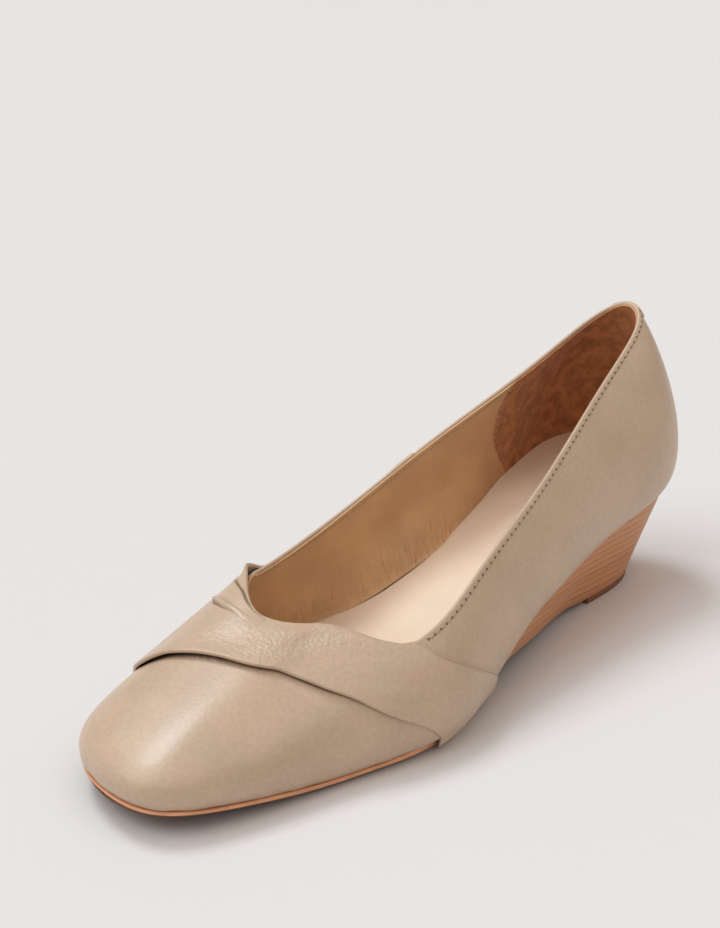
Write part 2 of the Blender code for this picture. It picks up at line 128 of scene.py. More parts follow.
# The two gathered folds on the medial side of the band. share is where each lies between the front (0) and
# rear (1) line, step and roll how high they stand.
FOLD_ROWS = (
    # across, step_share, step_mm, roll_share, roll_mm, roll_radius_mm
    (0.545, 0.920, 0.00, 0.850, 0.00, 0.60),
    (0.560, 0.935, 0.45, 0.850, 0.00, 0.60),
    (0.600, 0.942, 1.00, 0.825, 0.35, 0.75),
    (0.640, 0.942, 1.30, 0.750, 1.05, 0.90),
    (0.675, 0.915, 1.40, 0.700, 1.45, 1.00),
    (0.700, 0.880, 1.25, 0.660, 1.50, 0.95),
    (0.714, 0.862, 1.00, 0.635, 1.25, 0.85),
    (0.725, 0.848, 0.65, 0.615, 0.75, 0.65),
    (0.735, 0.830, 0.25, 0.595, 0.15, 0.50),
    (0.745, 0.815, 0.15, 0.575, 0.00, 0.60),
    (0.760, 0.795, 0.15, 0.560, 0.00, 1.80),
    (0.810, 0.765, 0.50, 0.485, 0.25, 2.20),
    (0.870, 0.757, 0.50, 0.445, 0.20, 3.20),
    (0.940, 0.743, 0.00, 0.420, 0.00, 4.00),
)
BAND_EVEN = 0.018              # width across the band over which its tables are evened out
BAND_HEIGHT = 1.6              # of its face over the last, in mm
BAND_WALL = 1.3                # in mm
COVERED_TOP = 0.955            # height of the upper's own topline where the band covers it
COVERED_PLACES = (5.3, 12.2)   # between these places
COVER_RAMP = 0.45              # places over which it drops
# Grids: points round or across the piece, then up it
UPPER_GRID = (640, 85)
LINING_GRID = (560, 60)
BAND_GRID = (440, 149)
BAND_TUCK = 12                 # rows of the band turned in under its lateral end
TAB_GRID = (121, 32)
BAR_RINGS, BAR_SIDES = 9, 8    # of a thread bar
HOLE_SIDES = 10

# How far the sole lies inside the feather edge on the lateral side, under the band's end and the waist
TUCK_ROWS = (
    # along_mm, inset_mm
    (0, 0.0), (45, 0.0), (60, 1.4), (90, 2.0), (110, 2.4), (124, 3.8), (134, 5.2), (148, 4.6), (160, 1.2),
    (172, 0.3), (190, 0.0), (260, 0.0),
)
# How far the lining leans in over the insole at the medial arch
LEAN_ROWS = (
    # place, lean_mm
    (0.0, 0.0), (12.8, 0.0), (13.4, 0.8), (13.8, 2.7), (14.1, 4.8), (14.4, 6.4), (14.65, 6.6), (14.9, 5.3),
    (15.15, 3.4), (15.5, 2.0), (15.9, 0.0), (18.0, 0.0),
)
# Where the side seam lies on the medial side, by height
SEAM_ROWS = ((0.0, 15.22), (0.2, 15.05), (0.445, 14.93), (0.715, 14.85), (1.0, 14.83))
# Where the heel lining's seam lies on the medial side, by height
COUNTER_ROWS = ((0.0, 15.98), (0.18, 15.85), (0.386, 15.72), (0.49, 15.68), (0.72, 15.67), (1.0, 15.75))
TAB_REACH = 0.013         # to either side along the girth
TAB_DEPTH = 0.125         # share of the height from feather edge to topline
TAB_TOP = 0.985
TAB_THIN = 0.12           # its depth at the ends, as a share of TAB_DEPTH

WEDGE_LEAN = 0.009        # how far its back leans forward on its way down
WEDGE_TAPER = 0.38        # how much narrower it is at the floor, at the back
TAPER_REACH = (0.25, 0.72)
WEDGE_FRONT = 0.150       # where it runs out under the ball
WEDGE_PROUD = 0.0002
PIECE_FRONT = 0.043       # front end of the top piece
PIECE_DEPTH = 0.0022
SHANK_DEPTH = 0.0006      # of the sole under the wedge
SHANK_INSET = 0.0016
SOLE_PROUD = 0.00035
SOLE_RISE = 0.0014        # of the sole's face over the floor at the forefoot's edge
HEM = 0.0003              # how far the leather reaches down past the feather edge
UPPER_WALL = 0.0018
GAP = 0.0003
MM = 0.001
SLOPE_STEP = 0.0005
RISE_STEP = 0.01
LAST_PLACE = (-0.12339, -0.00139, 0.0)   # of the last's back end in the row frame

# The photograph's camera, fitted to the shoe: its place in metres from the row's origin and its angles
CAMERA_PLACE = (0.35702, 0.28927, 0.24629)
CAMERA_YAW = 221.434
CAMERA_DOWN = 21.110
CAMERA_ROLL = 0.614
CAMERA_LENS = 62.283
CAMERA_SENSOR = 36.0
# The lights: azimuth and elevation they come from, their spread in degrees, strength and colour
LIGHTS = (
    ("key", -92, 64, 20, 1.15, "EEF8FF"),
    ("front", -28, 50, 45, 0.86, "F6FBFF"),
    ("fill", 60, 72, 80, 0.60, "FFFAF5"),
)
SKY_COLOUR = "FFEFE3"
SKY_STRENGTH = 0.41
FLOOR_HALF = 30.0


def closed_spline(knots, values, period):
    """Smooth closed curve through the values at the knots: a cubic with continuous curvature."""
    count = len(knots)
    step = np.diff(np.append(knots, knots[0] + period))
    rise = (np.roll(values, -1, 0) - values) / step[:, None]
    system = np.zeros((count, count))
    right = np.zeros_like(values)
    for row in range(count):
        before = row - 1
        after = (row + 1) % count
        system[row, before] += step[before]
        system[row, row] += 2 * (step[before] + step[row])
        system[row, after] += step[row]
        right[row] = 6 * (rise[row] - rise[before])
    bend = np.linalg.solve(system, right)

    def curve(place):
        place = np.asarray(place, float)
        wrapped = np.mod(place - knots[0], period) + knots[0]
        index = np.clip(np.searchsorted(knots, wrapped, side="right") - 1, 0, count - 1)
        after = (index + 1) % count
        span = step[index][..., None]
        left = (wrapped - knots[index])[..., None]
        rest = span - left
        return (bend[index] * rest ** 3 + bend[after] * left ** 3) / (6 * span) \
            + (values[index] / span - bend[index] * span / 6) * rest \
            + (values[after] / span - bend[after] * span / 6) * left
    return curve


def steady_curve(xs, ys):
    """Smooth curve through a table that never swings past its rows: a cubic with limited slopes."""
    xs = np.asarray(xs, float)
    ys = np.asarray(ys, float)
    slope = np.diff(ys) / np.diff(xs)
    lean = np.zeros_like(ys)
    before, after = slope[:-1], slope[1:]
    same = before * after > 0
    lean[1:-1][same] = 2 * before[same] * after[same] / (before[same] + after[same])
    lean[0], lean[-1] = slope[0], slope[-1]

    def curve(x):
        x = np.clip(np.asarray(x, float), xs[0], xs[-1])
        index = np.clip(np.searchsorted(xs, x, side="right") - 1, 0, len(xs) - 2)
        width = xs[index + 1] - xs[index]
        t = (x - xs[index]) / width
        return ys[index] * (1 + 2 * t) * (1 - t) ** 2 + ys[index + 1] * t * t * (3 - 2 * t) \
            + width * t * (1 - t) * (lean[index] * (1 - t) - lean[index + 1] * t)
    return curve


def evened(curve, low, high, width):
    """A curve evened out: a running mean over about a width, weighted like a bell."""
    knots = np.linspace(low, high, 401)
    reach = int(3 * width / (knots[1] - knots[0]))
    weight = bell(np.arange(-reach, reach + 1) * (knots[1] - knots[0]), 0, width * math.sqrt(2))
    padded = np.pad(curve(knots), reach, mode="reflect", reflect_type="odd")
    values = np.convolve(padded, weight / weight.sum(), "valid")
    return lambda x: np.interp(x, knots, values)


def table_curves(rows, width=0.0):
    """A steady curve for each column of a table over its first column, evened out over a width."""
    table = np.array(rows, float)
    curves = [steady_curve(table[:, 0], table[:, column]) for column in range(1, table.shape[1])]
    return [evened(curve, table[0, 0], table[-1, 0], width) for curve in curves] if width else curves


def ease(low, high, x):
    """0 below low, 1 above high, and a smooth rise between."""
    t = np.clip((x - low) / (high - low), 0, 1)
    return t * t * (3 - 2 * t)


def bell(x, middle, width):
    """1 at the middle, falling away on both sides like a bell."""
    return np.exp(-((x - middle) / width) ** 2)


def unit(vectors):
    """The vectors at length 1."""
    return vectors / np.maximum(np.linalg.norm(vectors, axis=-1, keepdims=True), 1e-12)


class Last:
    """The shoe's outer form, as a surface round the foot, in the row frame."""

    def __init__(self):
        table = np.array(LAST_ROWS, float)
        table *= [LENGTH, HALF_BALL, LENGTH, HALF_BALL, BACK_HEIGHT, HALF_BALL, 1, math.radians(1), 1]
        edge = table[:, :2]
        steps = np.linalg.norm(np.roll(edge, -1, 0) - edge, axis=1)
        self.knots = np.concatenate([[0], np.cumsum(steps)[:-1]])
        self.round = steps.sum()
        self.spline = closed_spline(self.knots, table, self.round)
        self.feather_height = steady_curve(*np.array(FEATHER_SIDE).T * [[LENGTH], [HEEL_RISE]])
        self.under_height = steady_curve(*np.array(UNDER_SIDE).T * [[LENGTH], [HEEL_RISE]])
        self.shift = np.array(LAST_PLACE)

    def girth(self, place):
        """Distance round the feather edge to a place among the rows."""
        return np.interp(place, np.arange(PLACES + 1), np.append(self.knots, self.round))

    def place(self, girth):
        """Place among the rows at a distance round the feather edge."""
        return np.interp(np.mod(girth, self.round), np.append(self.knots, self.round), np.arange(PLACES + 1))

    def outline(self, girth, grow=0.0):
        """Feather edge seen from above, pushed outwards by grow, and its outward direction."""
        here = self.spline(girth)[..., :2]
        girth = np.asarray(girth)
        ahead = unit((self.spline(girth + SLOPE_STEP) - self.spline(girth - SLOPE_STEP))[..., :2])
        out = np.stack([-ahead[..., 1], ahead[..., 0]], -1)
        return here + out * np.asarray(grow)[..., None], out

    def wall(self, girth, height):
        """Point on the outer surface: a bulged superellipse from the feather edge (0) to the topline (1)."""
        values = self.spline(girth)
        foot, out = self.outline(girth)
        foot_up = self.feather_height(foot[..., 0])
        bulge, power, turn, roof = (values[..., column] for column in (5, 6, 7, 8))
        power = 2 / power
        angle = height * turn
        inward = (1 - np.cos(angle) ** power) / (1 - np.cos(turn) ** power)
        upward = np.sin(angle) ** power / np.sin(turn) ** power
        swell = np.clip(upward, 0, 1) ** 0.55
        flat = foot + (values[..., 2:4] - foot) * inward[..., None]
        flat = flat + out * (4 * bulge * swell * (1 - swell))[..., None]
        rise = values[..., 4] - foot_up
        up = foot_up + rise * (roof + (1 - roof) * inward ** 1.15) * upward
        return np.concatenate([flat, up[..., None]], -1) + self.shift

    def outward(self, girth, height):
        """Direction square to the outer surface, from the slopes along and up it."""
        low = np.clip(height - RISE_STEP, RISE_STEP / 2, 1)
        high = np.clip(height + RISE_STEP, RISE_STEP, 1)
        along = self.wall(girth + SLOPE_STEP, height) - self.wall(girth - SLOPE_STEP, height)
        return unit(np.cross(self.wall(girth, high) - self.wall(girth, low), along))

    def raised(self, girth, height, lift):
        """Point on the outer surface moved outwards, square to it, by lift."""
        return self.wall(girth, height) + self.outward(girth, height) * np.asarray(lift)[..., None]

    def reach(self, girth, height=1.0):
        """Length of surface that one unit of height covers there."""
        height = height + 0 * girth
        return np.linalg.norm(self.wall(girth, height) - self.wall(girth, height - 0.03), axis=-1) / 0.03


LAST = Last()


def srgb(code):
    """Linear colour, with alpha, of an sRGB hex value such as 'C8B299'."""
    parts = [int(code[at:at + 2], 16) / 255 for at in (0, 2, 4)]
    return tuple(c / 12.92 if c <= 0.04045 else ((c + 0.055) / 1.055) ** 2.4 for c in parts) + (1.0,)


def join(tree, node, inputs):
    """Set a node's inputs to values or link them to sockets."""
    for name, value in inputs.items():
        if isinstance(value, bpy.types.NodeSocket):
            tree.links.new(value, node.inputs[name])
        else:
            node.inputs[name].default_value = value


def add_node(tree, kind, inputs=None, **settings):
    """Node of a kind, with its settings, and its inputs set to values or linked to sockets."""
    made = tree.nodes.new(kind)
    for name, value in settings.items():
        setattr(made, name, value)
    join(tree, made, inputs or {})
    return made


def new_material(name):
    """Node tree and Principled shader of a new material, and the place in the object's own coordinates."""
    made = bpy.data.materials.new(name)
    made.use_nodes = True
    tree = made.node_tree
    return tree, tree.nodes["Principled BSDF"], add_node(tree, "ShaderNodeTexCoord").outputs["Object"]


def calc(tree, operation, *values):
    """Result of a math node on values or sockets."""
    return add_node(tree, "ShaderNodeMath", dict(enumerate(values)), operation=operation).outputs[0]


def ranged(tree, value, low, high, to_low, to_high):
    """A value mapped smoothly from one range to another, held at its ends."""
    return add_node(tree, "ShaderNodeMapRange", {
        "Value": value, "From Min": low, "From Max": high, "To Min": to_low, "To Max": to_high},
        interpolation_type="SMOOTHSTEP").outputs["Result"]


def mixed(tree, factor, first, second):
    """Colour between two colours, each a socket or a value."""
    made = add_node(tree, "ShaderNodeMix", {"Factor": factor}, data_type="RGBA")
    for name, value in (("A", first), ("B", second)):
        socket = next(one for one in made.inputs if one.name == name and one.type == "RGBA")
        if isinstance(value, bpy.types.NodeSocket):
            tree.links.new(value, socket)
        else:
            socket.default_value = value
    return next(one for one in made.outputs if one.type == "RGBA")


def darker(code, share):
    """Linear colour of an sRGB hex value at a share of its brightness."""
    return tuple(min(1.0, share * c) for c in srgb(code)[:3]) + (1.0,)


def mottled(tree, value, code, share, low=0.3, high=0.7):
    """A colour that fades to a darker share of itself as a value rises from low to high."""
    return mixed(tree, ranged(tree, value, low, high, 0.0, 1.0), srgb(code), darker(code, share))


def noise(tree, where, scale, detail, **inputs):
    """Cloudy noise, scale waves to a unit of the place, with its detail and other inputs."""
    return add_node(tree, "ShaderNodeTexNoise", {
        "Vector": where, "Scale": scale, "Detail": detail, **inputs}).outputs["Fac"]


def scatter(tree, where, scale, feature="F1"):
    """Distance to the nearest of scattered points, scale of them to a unit of the place."""
    return add_node(tree, "ShaderNodeTexVoronoi", {"Vector": where, "Scale": scale},
                    feature=feature).outputs["Distance"]


def field(tree, name):
    """A number field that the mesh carries."""
    return add_node(tree, "ShaderNodeAttribute", attribute_name=name).outputs["Fac"]


def scaled(tree, code, level):
    """An sRGB colour, made linear, times a level."""
    return add_node(tree, "ShaderNodeVectorMath", {0: srgb(code)[:3], "Scale": level},
                    operation="SCALE").outputs[0]


def relief(tree, height, strength, distance):
    """Bumped surface direction from a height, which stands for distance in millimetres."""
    return add_node(tree, "ShaderNodeBump", {
        "Height": height, "Strength": strength, "Distance": distance * MM}).outputs["Normal"]


def grid_faces(rows, columns, wrap_rows=False, wrap_columns=False):
    """Quads of a grid of points, its first index round the shoe and its second up it, facing outwards."""
    index = np.arange(rows * columns).reshape(rows, columns)
    if wrap_rows:
        index = np.concatenate([index, index[:1]])
    if wrap_columns:
        index = np.concatenate([index, index[:, :1]], 1)
    return np.stack([index[:-1, :-1], index[:-1, 1:], index[1:, 1:], index[1:, :-1]], -1).reshape(-1, 4)


def tube_faces(rows, columns):
    """Faces of a tube of closed loops, a row for each, with a cap at both ends."""
    ring = np.arange(columns)
    return [grid_faces(rows, columns, False, True), ring[None, ::-1], (ring + (rows - 1) * columns)[None]]


def add_piece(name, points, faces, material, replaced=None, fields=None, uv=None, sharp=None):
    """Finished piece from arrays: its mesh, number fields, UV, material, body, slot and replaced node."""
    mesh = bpy.data.meshes.new(name)
    lists = [face.tolist() if isinstance(face, np.ndarray) else face for face in faces]
    flat = [corner for group in lists for corner in (group if isinstance(group[0], list) else [group])]
    mesh.from_pydata(points.reshape(-1, 3).tolist(), [], flat)
    for field, values in (fields or {}).items():
        layer = mesh.attributes.new(field, "FLOAT", "POINT")
        layer.data.foreach_set("value", np.ascontiguousarray(values, np.float32).ravel())
    if uv is not None:
        corners = np.empty(len(mesh.loops), np.int32)
        mesh.loops.foreach_get("vertex_index", corners)
        layer = mesh.uv_layers.new(name="surface")
        layer.data.foreach_set("uv", uv.reshape(-1, 2)[corners].astype(np.float32).ravel())
    mesh.update()
    mesh.shade_smooth()
    if sharp is not None:
        mesh.set_sharp_from_angle(angle=math.radians(sharp))
    made = bpy.data.objects.new(name, mesh)
    made.data.materials.append(material)
    bpy.context.scene.collection.objects.link(made)
    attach(made, ROOT)
    if replaced:
        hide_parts(replaced)
    return made


def round_edge(outer, inner, beyond, count):
    """Half circle of points from the edge of an outer to that of an inner sheet, bulging beyond them."""
    middle = (outer + inner) / 2
    arm = (outer - inner) / 2
    radius = np.linalg.norm(arm, axis=-1, keepdims=True)
    angle = (np.arange(1, count) / count * math.pi)[None, :, None]
    return middle[:, None] + arm[:, None] * np.cos(angle) + (beyond * radius)[:, None] * np.sin(angle)


def shell_loops(outer, inner, fields=None, skip=4, count=6):
    """Closed loops round a sheet of leather: up its outer face, over its edge, down its inner face.

    fields gives number fields as their values outside, on the top edge, inside and on the foot edge.
    """
    inner = np.concatenate([inner[:, :-1:skip], inner[:, -1:]], 1)
    top = round_edge(outer[:, -1], inner[:, -1], unit(outer[:, -1] - outer[:, -2]), count)
    foot = round_edge(inner[:, 0], outer[:, 0], unit(outer[:, 0] - outer[:, 1]), count)
    rows = len(outer)
    made = {name: np.concatenate([face + np.zeros(outer.shape[:2]), *(
        np.full((rows, part.shape[1]), value) for part, value in zip((top, inner, foot), values))], 1)
        for name, (face, *values) in (fields or {}).items()}
    return np.concatenate([outer, top, inner[:, ::-1], foot], 1), made


def covered_top(girth, top):
    """Height of a topline that drops to top where the band covers it."""
    place = LAST.place(girth)
    start, stop = COVERED_PLACES
    covered = ease(start - COVER_RAMP, start, place) * (1 - ease(stop, stop + COVER_RAMP, place))
    return 1 - (1 - top) * covered


def below_topline(girth, distance):
    """Height on the last at a distance down from the topline."""
    return 1 - distance / LAST.reach(girth)


def along_path(points, pitch):
    """Even steps of about one pitch along a line of points: positions in it, as fractions of its index."""
    run = np.concatenate([[0], np.cumsum(np.linalg.norm(np.diff(points, axis=0), axis=1))])
    count = max(2, int(round(run[-1] / pitch)) + 1)
    return np.interp(np.linspace(0, run[-1], count), run, np.arange(len(points)))


def side_seam_girth(height):
    """Girth of the side seam on the medial side, by height: leaning back on its way down."""
    return LAST.girth(steady_curve(*np.array(SEAM_ROWS).T)(height))


def skin_relief(girth, height):
    """Small rise and fall of the upper's leather over the last, in metres.

    A lapped seam on the medial side, soft waves a few centimetres long, and puckers at the toe's foot.
    """
    ahead = side_seam_girth(height) - girth
    lap = 0.45 * MM * ease(-0.1 * MM, 0.25 * MM, ahead) * (1 - ease(5 * MM, 14 * MM, ahead))
    turns = girth / LAST.round * 2 * math.pi
    waves = 0.10 * MM * np.sin(9 * turns + 5 * height + 1.3) * np.sin(4 * turns - 7 * height)
    puckers = 0.12 * MM * np.sin(girth / (2.3 * MM) + 1.7 * np.sin(girth / (5.1 * MM))) \
        * (1 - ease(0.015, 0.09, height)) * bell(LAST.place(girth), TIP - 0.6, 4.0)
    return lap * on_medial(girth) - 0.35 * MM * side_seam(girth, height) \
        + (waves + puckers) * (1 - ease(0.94, 1.0, height))


def on_medial(girth):
    """1 round the side seam on the medial side, 0 elsewhere."""
    place = LAST.place(girth)
    return ease(14.0, 14.3, place) * (1 - ease(15.8, 16.0, place))


def side_seam(girth, height):
    """1 in the side seam's narrow groove, 0 away from it: sets the groove's depth and its painted shade."""
    return bell(girth, side_seam_girth(height) + 0.35 * MM, 0.5 * MM) * on_medial(girth)


def lining_face(girth, height, beyond=0.0):
    """Point on the lining's inner face, or beyond it: it leans in over the insole at the medial arch."""
    place = LAST.place(girth)
    lean = table_curves(LEAN_ROWS)[0](place) * MM * (1 - ease(0, 0.42, height))
    inward = np.concatenate([LAST.outline(girth)[1], 0 * lean[..., None]], -1)
    return LAST.raised(girth, height, -UPPER_WALL - beyond + 0 * height) - inward * lean[..., None]


def counter_girth(height):
    """Girth of the heel lining's seam on the medial side, by height."""
    return LAST.girth(steady_curve(*np.array(COUNTER_ROWS).T)(height))


def tab_line(sideways, size=1.0):
    """Girth and height of the heel tab's lower edge, sideways from -1 to 1, or of a line inside it."""
    depth = TAB_DEPTH * (TAB_THIN + (1 - TAB_THIN) * np.sqrt(np.maximum(1 - sideways ** 2, 0)))
    return TAB_REACH * size * np.sin(sideways * math.pi / 2), TAB_TOP - depth * size


def pebbled(girth, height):
    """Where the leather's pebbled grain is strong: the medial quarter below the topline."""
    place = LAST.place(girth)
    return 0.9 * bell(place, 15.9, 0.55) * bell(height, 0.86, 0.16) + 0.35 * bell(place, 3.6, 0.9) \
        * bell(height, 0.55, 0.3)


def band_surface(across, share):
    """Girth and height on the last of points of the band, share running from its front to its rear line."""
    front_place, front_height, rear_place, rear_height = (
        curve(across) for curve in table_curves(BAND_ROWS, BAND_EVEN))
    place = front_place + (rear_place - front_place) * share
    height = front_height + (rear_height - front_height) * share
    girth = steady_curve(np.arange(PLACES + 1), np.append(LAST.knots, LAST.round))
    return girth(place), np.clip(height, 0.002, 1)


def shade_under_band(girth, height):
    """Painted shade under the band: 1 on the vamp just behind the line of the band's front edge, 0 before it.
    """
    across = np.linspace(0, 1, 400)
    line, up = band_surface(across, table_curves(BAND_EDGES, BAND_EVEN)[0](across))
    behind = (height - np.interp(girth, line, up)) * LAST.reach(girth, 0.9)
    return ease(-0.3 * MM, 1.5 * MM, behind) * (girth > line[0]) * (girth < line[-1])


def band_lift(across, even, share, width):
    """Height of the band's outer and inner face over the last, in metres, and how deep it lies in the creases
    of its folds, which also sets their painted shade.

    even is 0 at the front and 1 at the rear edge, share the same between the lines of the table. The step
    is a fold whose edge drops to the strip behind it, the roll a round pleat between two creases.
    """
    front_up, rear_up = (curve(across) * MM for curve in table_curves(BAND_EDGES, BAND_EVEN)[2:])
    step_share, step_up, roll_share, roll_up, roll_radius = (
        curve(across) for curve in table_curves(FOLD_ROWS))
    level = BAND_HEIGHT * MM * (0.45 + 0.55 * ease(0.0, 0.12, across)) \
        * (0.6 + 0.4 * ease(0.0, 0.1, 1 - across))
    behind = (share - step_share) * width
    step = step_up * MM * (1 - ease(-0.15 * MM, 0.15 * MM, behind)) * np.exp(np.minimum(behind, 0) / (7 * MM))
    step_crease = step_up * bell(behind, 0.30 * MM, 0.28 * MM)
    away = (share - roll_share) * width / (roll_radius * MM)
    roll = roll_up * MM * np.sqrt(np.clip(1 - away ** 2, 0, 1))
    roll_crease = roll_up * (0.7 * bell(away, 1.15, 0.20) + 1.1 * bell(away, -1.15, 0.22))
    lip = (front_up - level) * np.exp(-(even * width / (6 * MM)) ** 1.6)
    flare = (rear_up - level) * np.exp(-((1 - even) * width / (3.2 * MM)) ** 1.6)
    ripple = 0.10 * MM * np.sin(across * 41 + share * 3) * np.sin(share * 5 + across * 9) \
        * ease(0, 0.2, share) * ease(0, 0.2, 1 - share)
    crease = np.clip(step_crease + 0.6 * roll_crease, 0, 1.5)
    body = level + lip + flare + ripple
    outer = body + step + roll - 0.35 * MM * crease
    return outer, np.maximum(body - BAND_WALL * MM, np.minimum(-0.4 * MM, body - 0.6 * MM)), crease


def stitch_row(name, path, out, pitch, settings, hole_share=1.0):
    """Row of stitches along a line on the leather: thread bars between pinholes, a pitch apart."""
    spots = along_path(path, pitch)
    index = np.arange(len(path))
    hole = np.stack([np.interp(spots, index, path[:, axis]) for axis in range(3)], -1)
    normal = unit(np.stack([np.interp(spots, index, out[:, axis]) for axis in range(3)], -1))
    ahead = unit(np.gradient(hole, axis=0))
    sideways = unit(np.cross(normal, ahead))
    radius = settings.thread_width / 2

    # each bar: a ring of points round an arched line from hole to hole, tapering at its ends
    turn = np.linspace(0, 2 * math.pi, BAR_SIDES, endpoint=False)[None, None, :]
    t = np.linspace(0, 1, BAR_RINGS)[None, :, None]
    thick = radius * (0.25 + 0.75 * np.sin(math.pi * t) ** 0.4)
    start, stop = hole[:-1, None, None], hole[1:, None, None]
    up = ((normal[:-1] + normal[1:]) / 2)[:, None, None]
    aside = ((sideways[:-1] + sideways[1:]) / 2)[:, None, None]
    arch = (np.sin(math.pi * t) ** 0.7 * radius * 1.1 - radius * 0.9)[..., None]
    centre = start + (stop - start) * (0.06 + 0.88 * t[..., None]) + up * arch
    bars = centre + aside * (thick * np.cos(turn))[..., None] + up * (thick * np.sin(turn))[..., None]
    step = (np.arange(len(bars)) * BAR_RINGS * BAR_SIDES)[:, None]
    sides = (grid_faces(BAR_RINGS, BAR_SIDES, wrap_columns=True)[None] + step[..., None]).reshape(-1, 4)
    ends = np.arange(BAR_SIDES)
    caps = np.concatenate([step + ends[::-1], step + (BAR_RINGS - 1) * BAR_SIDES + ends])
    add_piece(name + "_thread", bars, [sides[:, ::-1], caps[:, ::-1]], bpy.data.materials["thread"])

    # each pinhole: a shallow cup set into the leather, its near-black colour painted shade
    turn = np.linspace(0, 2 * math.pi, HOLE_SIDES, endpoint=False)[None, :, None]
    size = settings.hole_width / 2 * hole_share
    rim_line = hole[:, None] + ahead[:, None] * np.cos(turn) * size + sideways[:, None] * np.sin(turn) * size
    up, hole = normal[:, None] * MM, hole[:, None]
    points = np.concatenate([rim_line + up * 0.03, rim_line - up * 0.25,
                             hole - up * 0.10, hole - up * 0.30], 1)
    ring = np.arange(HOLE_SIDES)
    after = np.roll(ring, -1)
    low, middle = HOLE_SIDES, np.full(HOLE_SIDES, 2 * HOLE_SIDES)
    wall = np.stack([ring + low, after + low, after, ring], -1)
    caps = np.concatenate([np.stack([ring, after, middle], -1),
                           np.stack([after + low, ring + low, middle + 1], -1)])
    step = (np.arange(len(hole)) * (2 * HOLE_SIDES + 2))[:, None, None]
    add_piece(name + "_pinholes", points, [(wall + step).reshape(-1, 4), (caps + step).reshape(-1, 3)],
              bpy.data.materials["pinhole"])


# Materials

def calf_leather(name, colour, grain, gloss):
    """Pigmented calf leather: fine pebbled grain, a thin glazed finish, slight mottling of its dye, and
    painted shade where the crease field is high.
    """
    tree, shader, where = new_material(name)
    cloud = noise(tree, where, 55.0, 3.0)
    tone = ranged(tree, cloud, 0.3, 0.7, 0.955, 1.04)
    speck = ranged(tree, noise(tree, where, 700.0, 2.0), 0.3, 0.7, 0.96, 1.04)
    # painted shade: the colour is darkened in proportion to the crease field
    shade = calc(tree, "MULTIPLY_ADD", field(tree, "crease"), -0.5, 1.0)
    level = calc(tree, "MULTIPLY", calc(tree, "MULTIPLY", tone, speck), shade)

    # grain: closed cells a little under a millimetre wide, with wider pebbles where it is strong
    cells = scatter(tree, where, 1 / (grain * 0.9), "SMOOTH_F1")
    pebbles = scatter(tree, where, 1 / (grain * 1.4), "SMOOTH_F1")
    folds = noise(tree, where, 420.0, 4.0, Roughness=0.6)
    strong = calc(tree, "MULTIPLY", calc(tree, "MULTIPLY_ADD", folds, 1.6, calc(
        tree, "MULTIPLY", pebbles, -2.0)), field(tree, "pebble"))
    height = calc(tree, "MULTIPLY_ADD", cells, -0.2, strong)
    join(tree, shader, {
        "Base Color": scaled(tree, colour, level), "Normal": relief(tree, height, 0.9, 0.20),
        "Roughness": ranged(tree, cloud, 0.3, 0.7, gloss - 0.03, gloss + 0.05),
        "IOR": 1.5, "Coat Weight": 0.15, "Coat Roughness": 0.22})


def lining_leather(name, colour, counter_colour, edge_colour):
    """Vegetable-tanned lining leather: matt and tan, suede side out round the heel, its cut edge pale."""
    tree, shader, where = new_material(name)
    counter = field(tree, "counter")
    smooth = mottled(tree, noise(tree, where, 70.0, 4.0), colour, 0.84)
    suede = mottled(tree, noise(tree, where, 220.0, 5.0, Roughness=0.65), counter_colour, 0.62, 0.35, 0.65)
    whole = mixed(tree, field(tree, "cut_edge"), mixed(tree, counter, smooth, suede), srgb(edge_colour))

    # wrinkles run aslant down to the insole, about two millimetres apart
    flat = add_node(tree, "ShaderNodeUVMap", uv_map="surface").outputs["UV"]
    turned = add_node(tree, "ShaderNodeMapping", {
        "Vector": flat, "Rotation": (0, 0, math.radians(-28)),
        "Scale": (520.0, 110.0, 1.0)}).outputs["Vector"]
    wrinkles = calc(tree, "MULTIPLY", noise(tree, turned, 1.0, 3.0, Distortion=0.7), 7.0)
    folded = calc(tree, "MULTIPLY", wrinkles, field(tree, "crease"))
    height = calc(tree, "MULTIPLY_ADD", noise(tree, where, 1300.0, 3.0), 0.35, folded)
    join(tree, shader, {
        "Base Color": whole, "Normal": relief(tree, height, 0.8, 0.3),
        "Roughness": ranged(tree, counter, 0.0, 1.0, 0.5, 0.85),
        "Specular IOR Level": 0.3, "Sheen Weight": 0.1})


def sock_leather(name, colour):
    """Pigskin sock lining: matt, pale, with fine pores and faint marks of handling."""
    tree, shader, where = new_material(name)
    cloud = noise(tree, where, 40.0, 4.0)
    height = calc(tree, "MULTIPLY_ADD", cloud, 1.5, scatter(tree, where, 1100.0))
    join(tree, shader, {
        "Base Color": mottled(tree, cloud, colour, 0.93), "Normal": relief(tree, height, 0.35, 0.12),
        "Roughness": 0.5, "Specular IOR Level": 0.4})


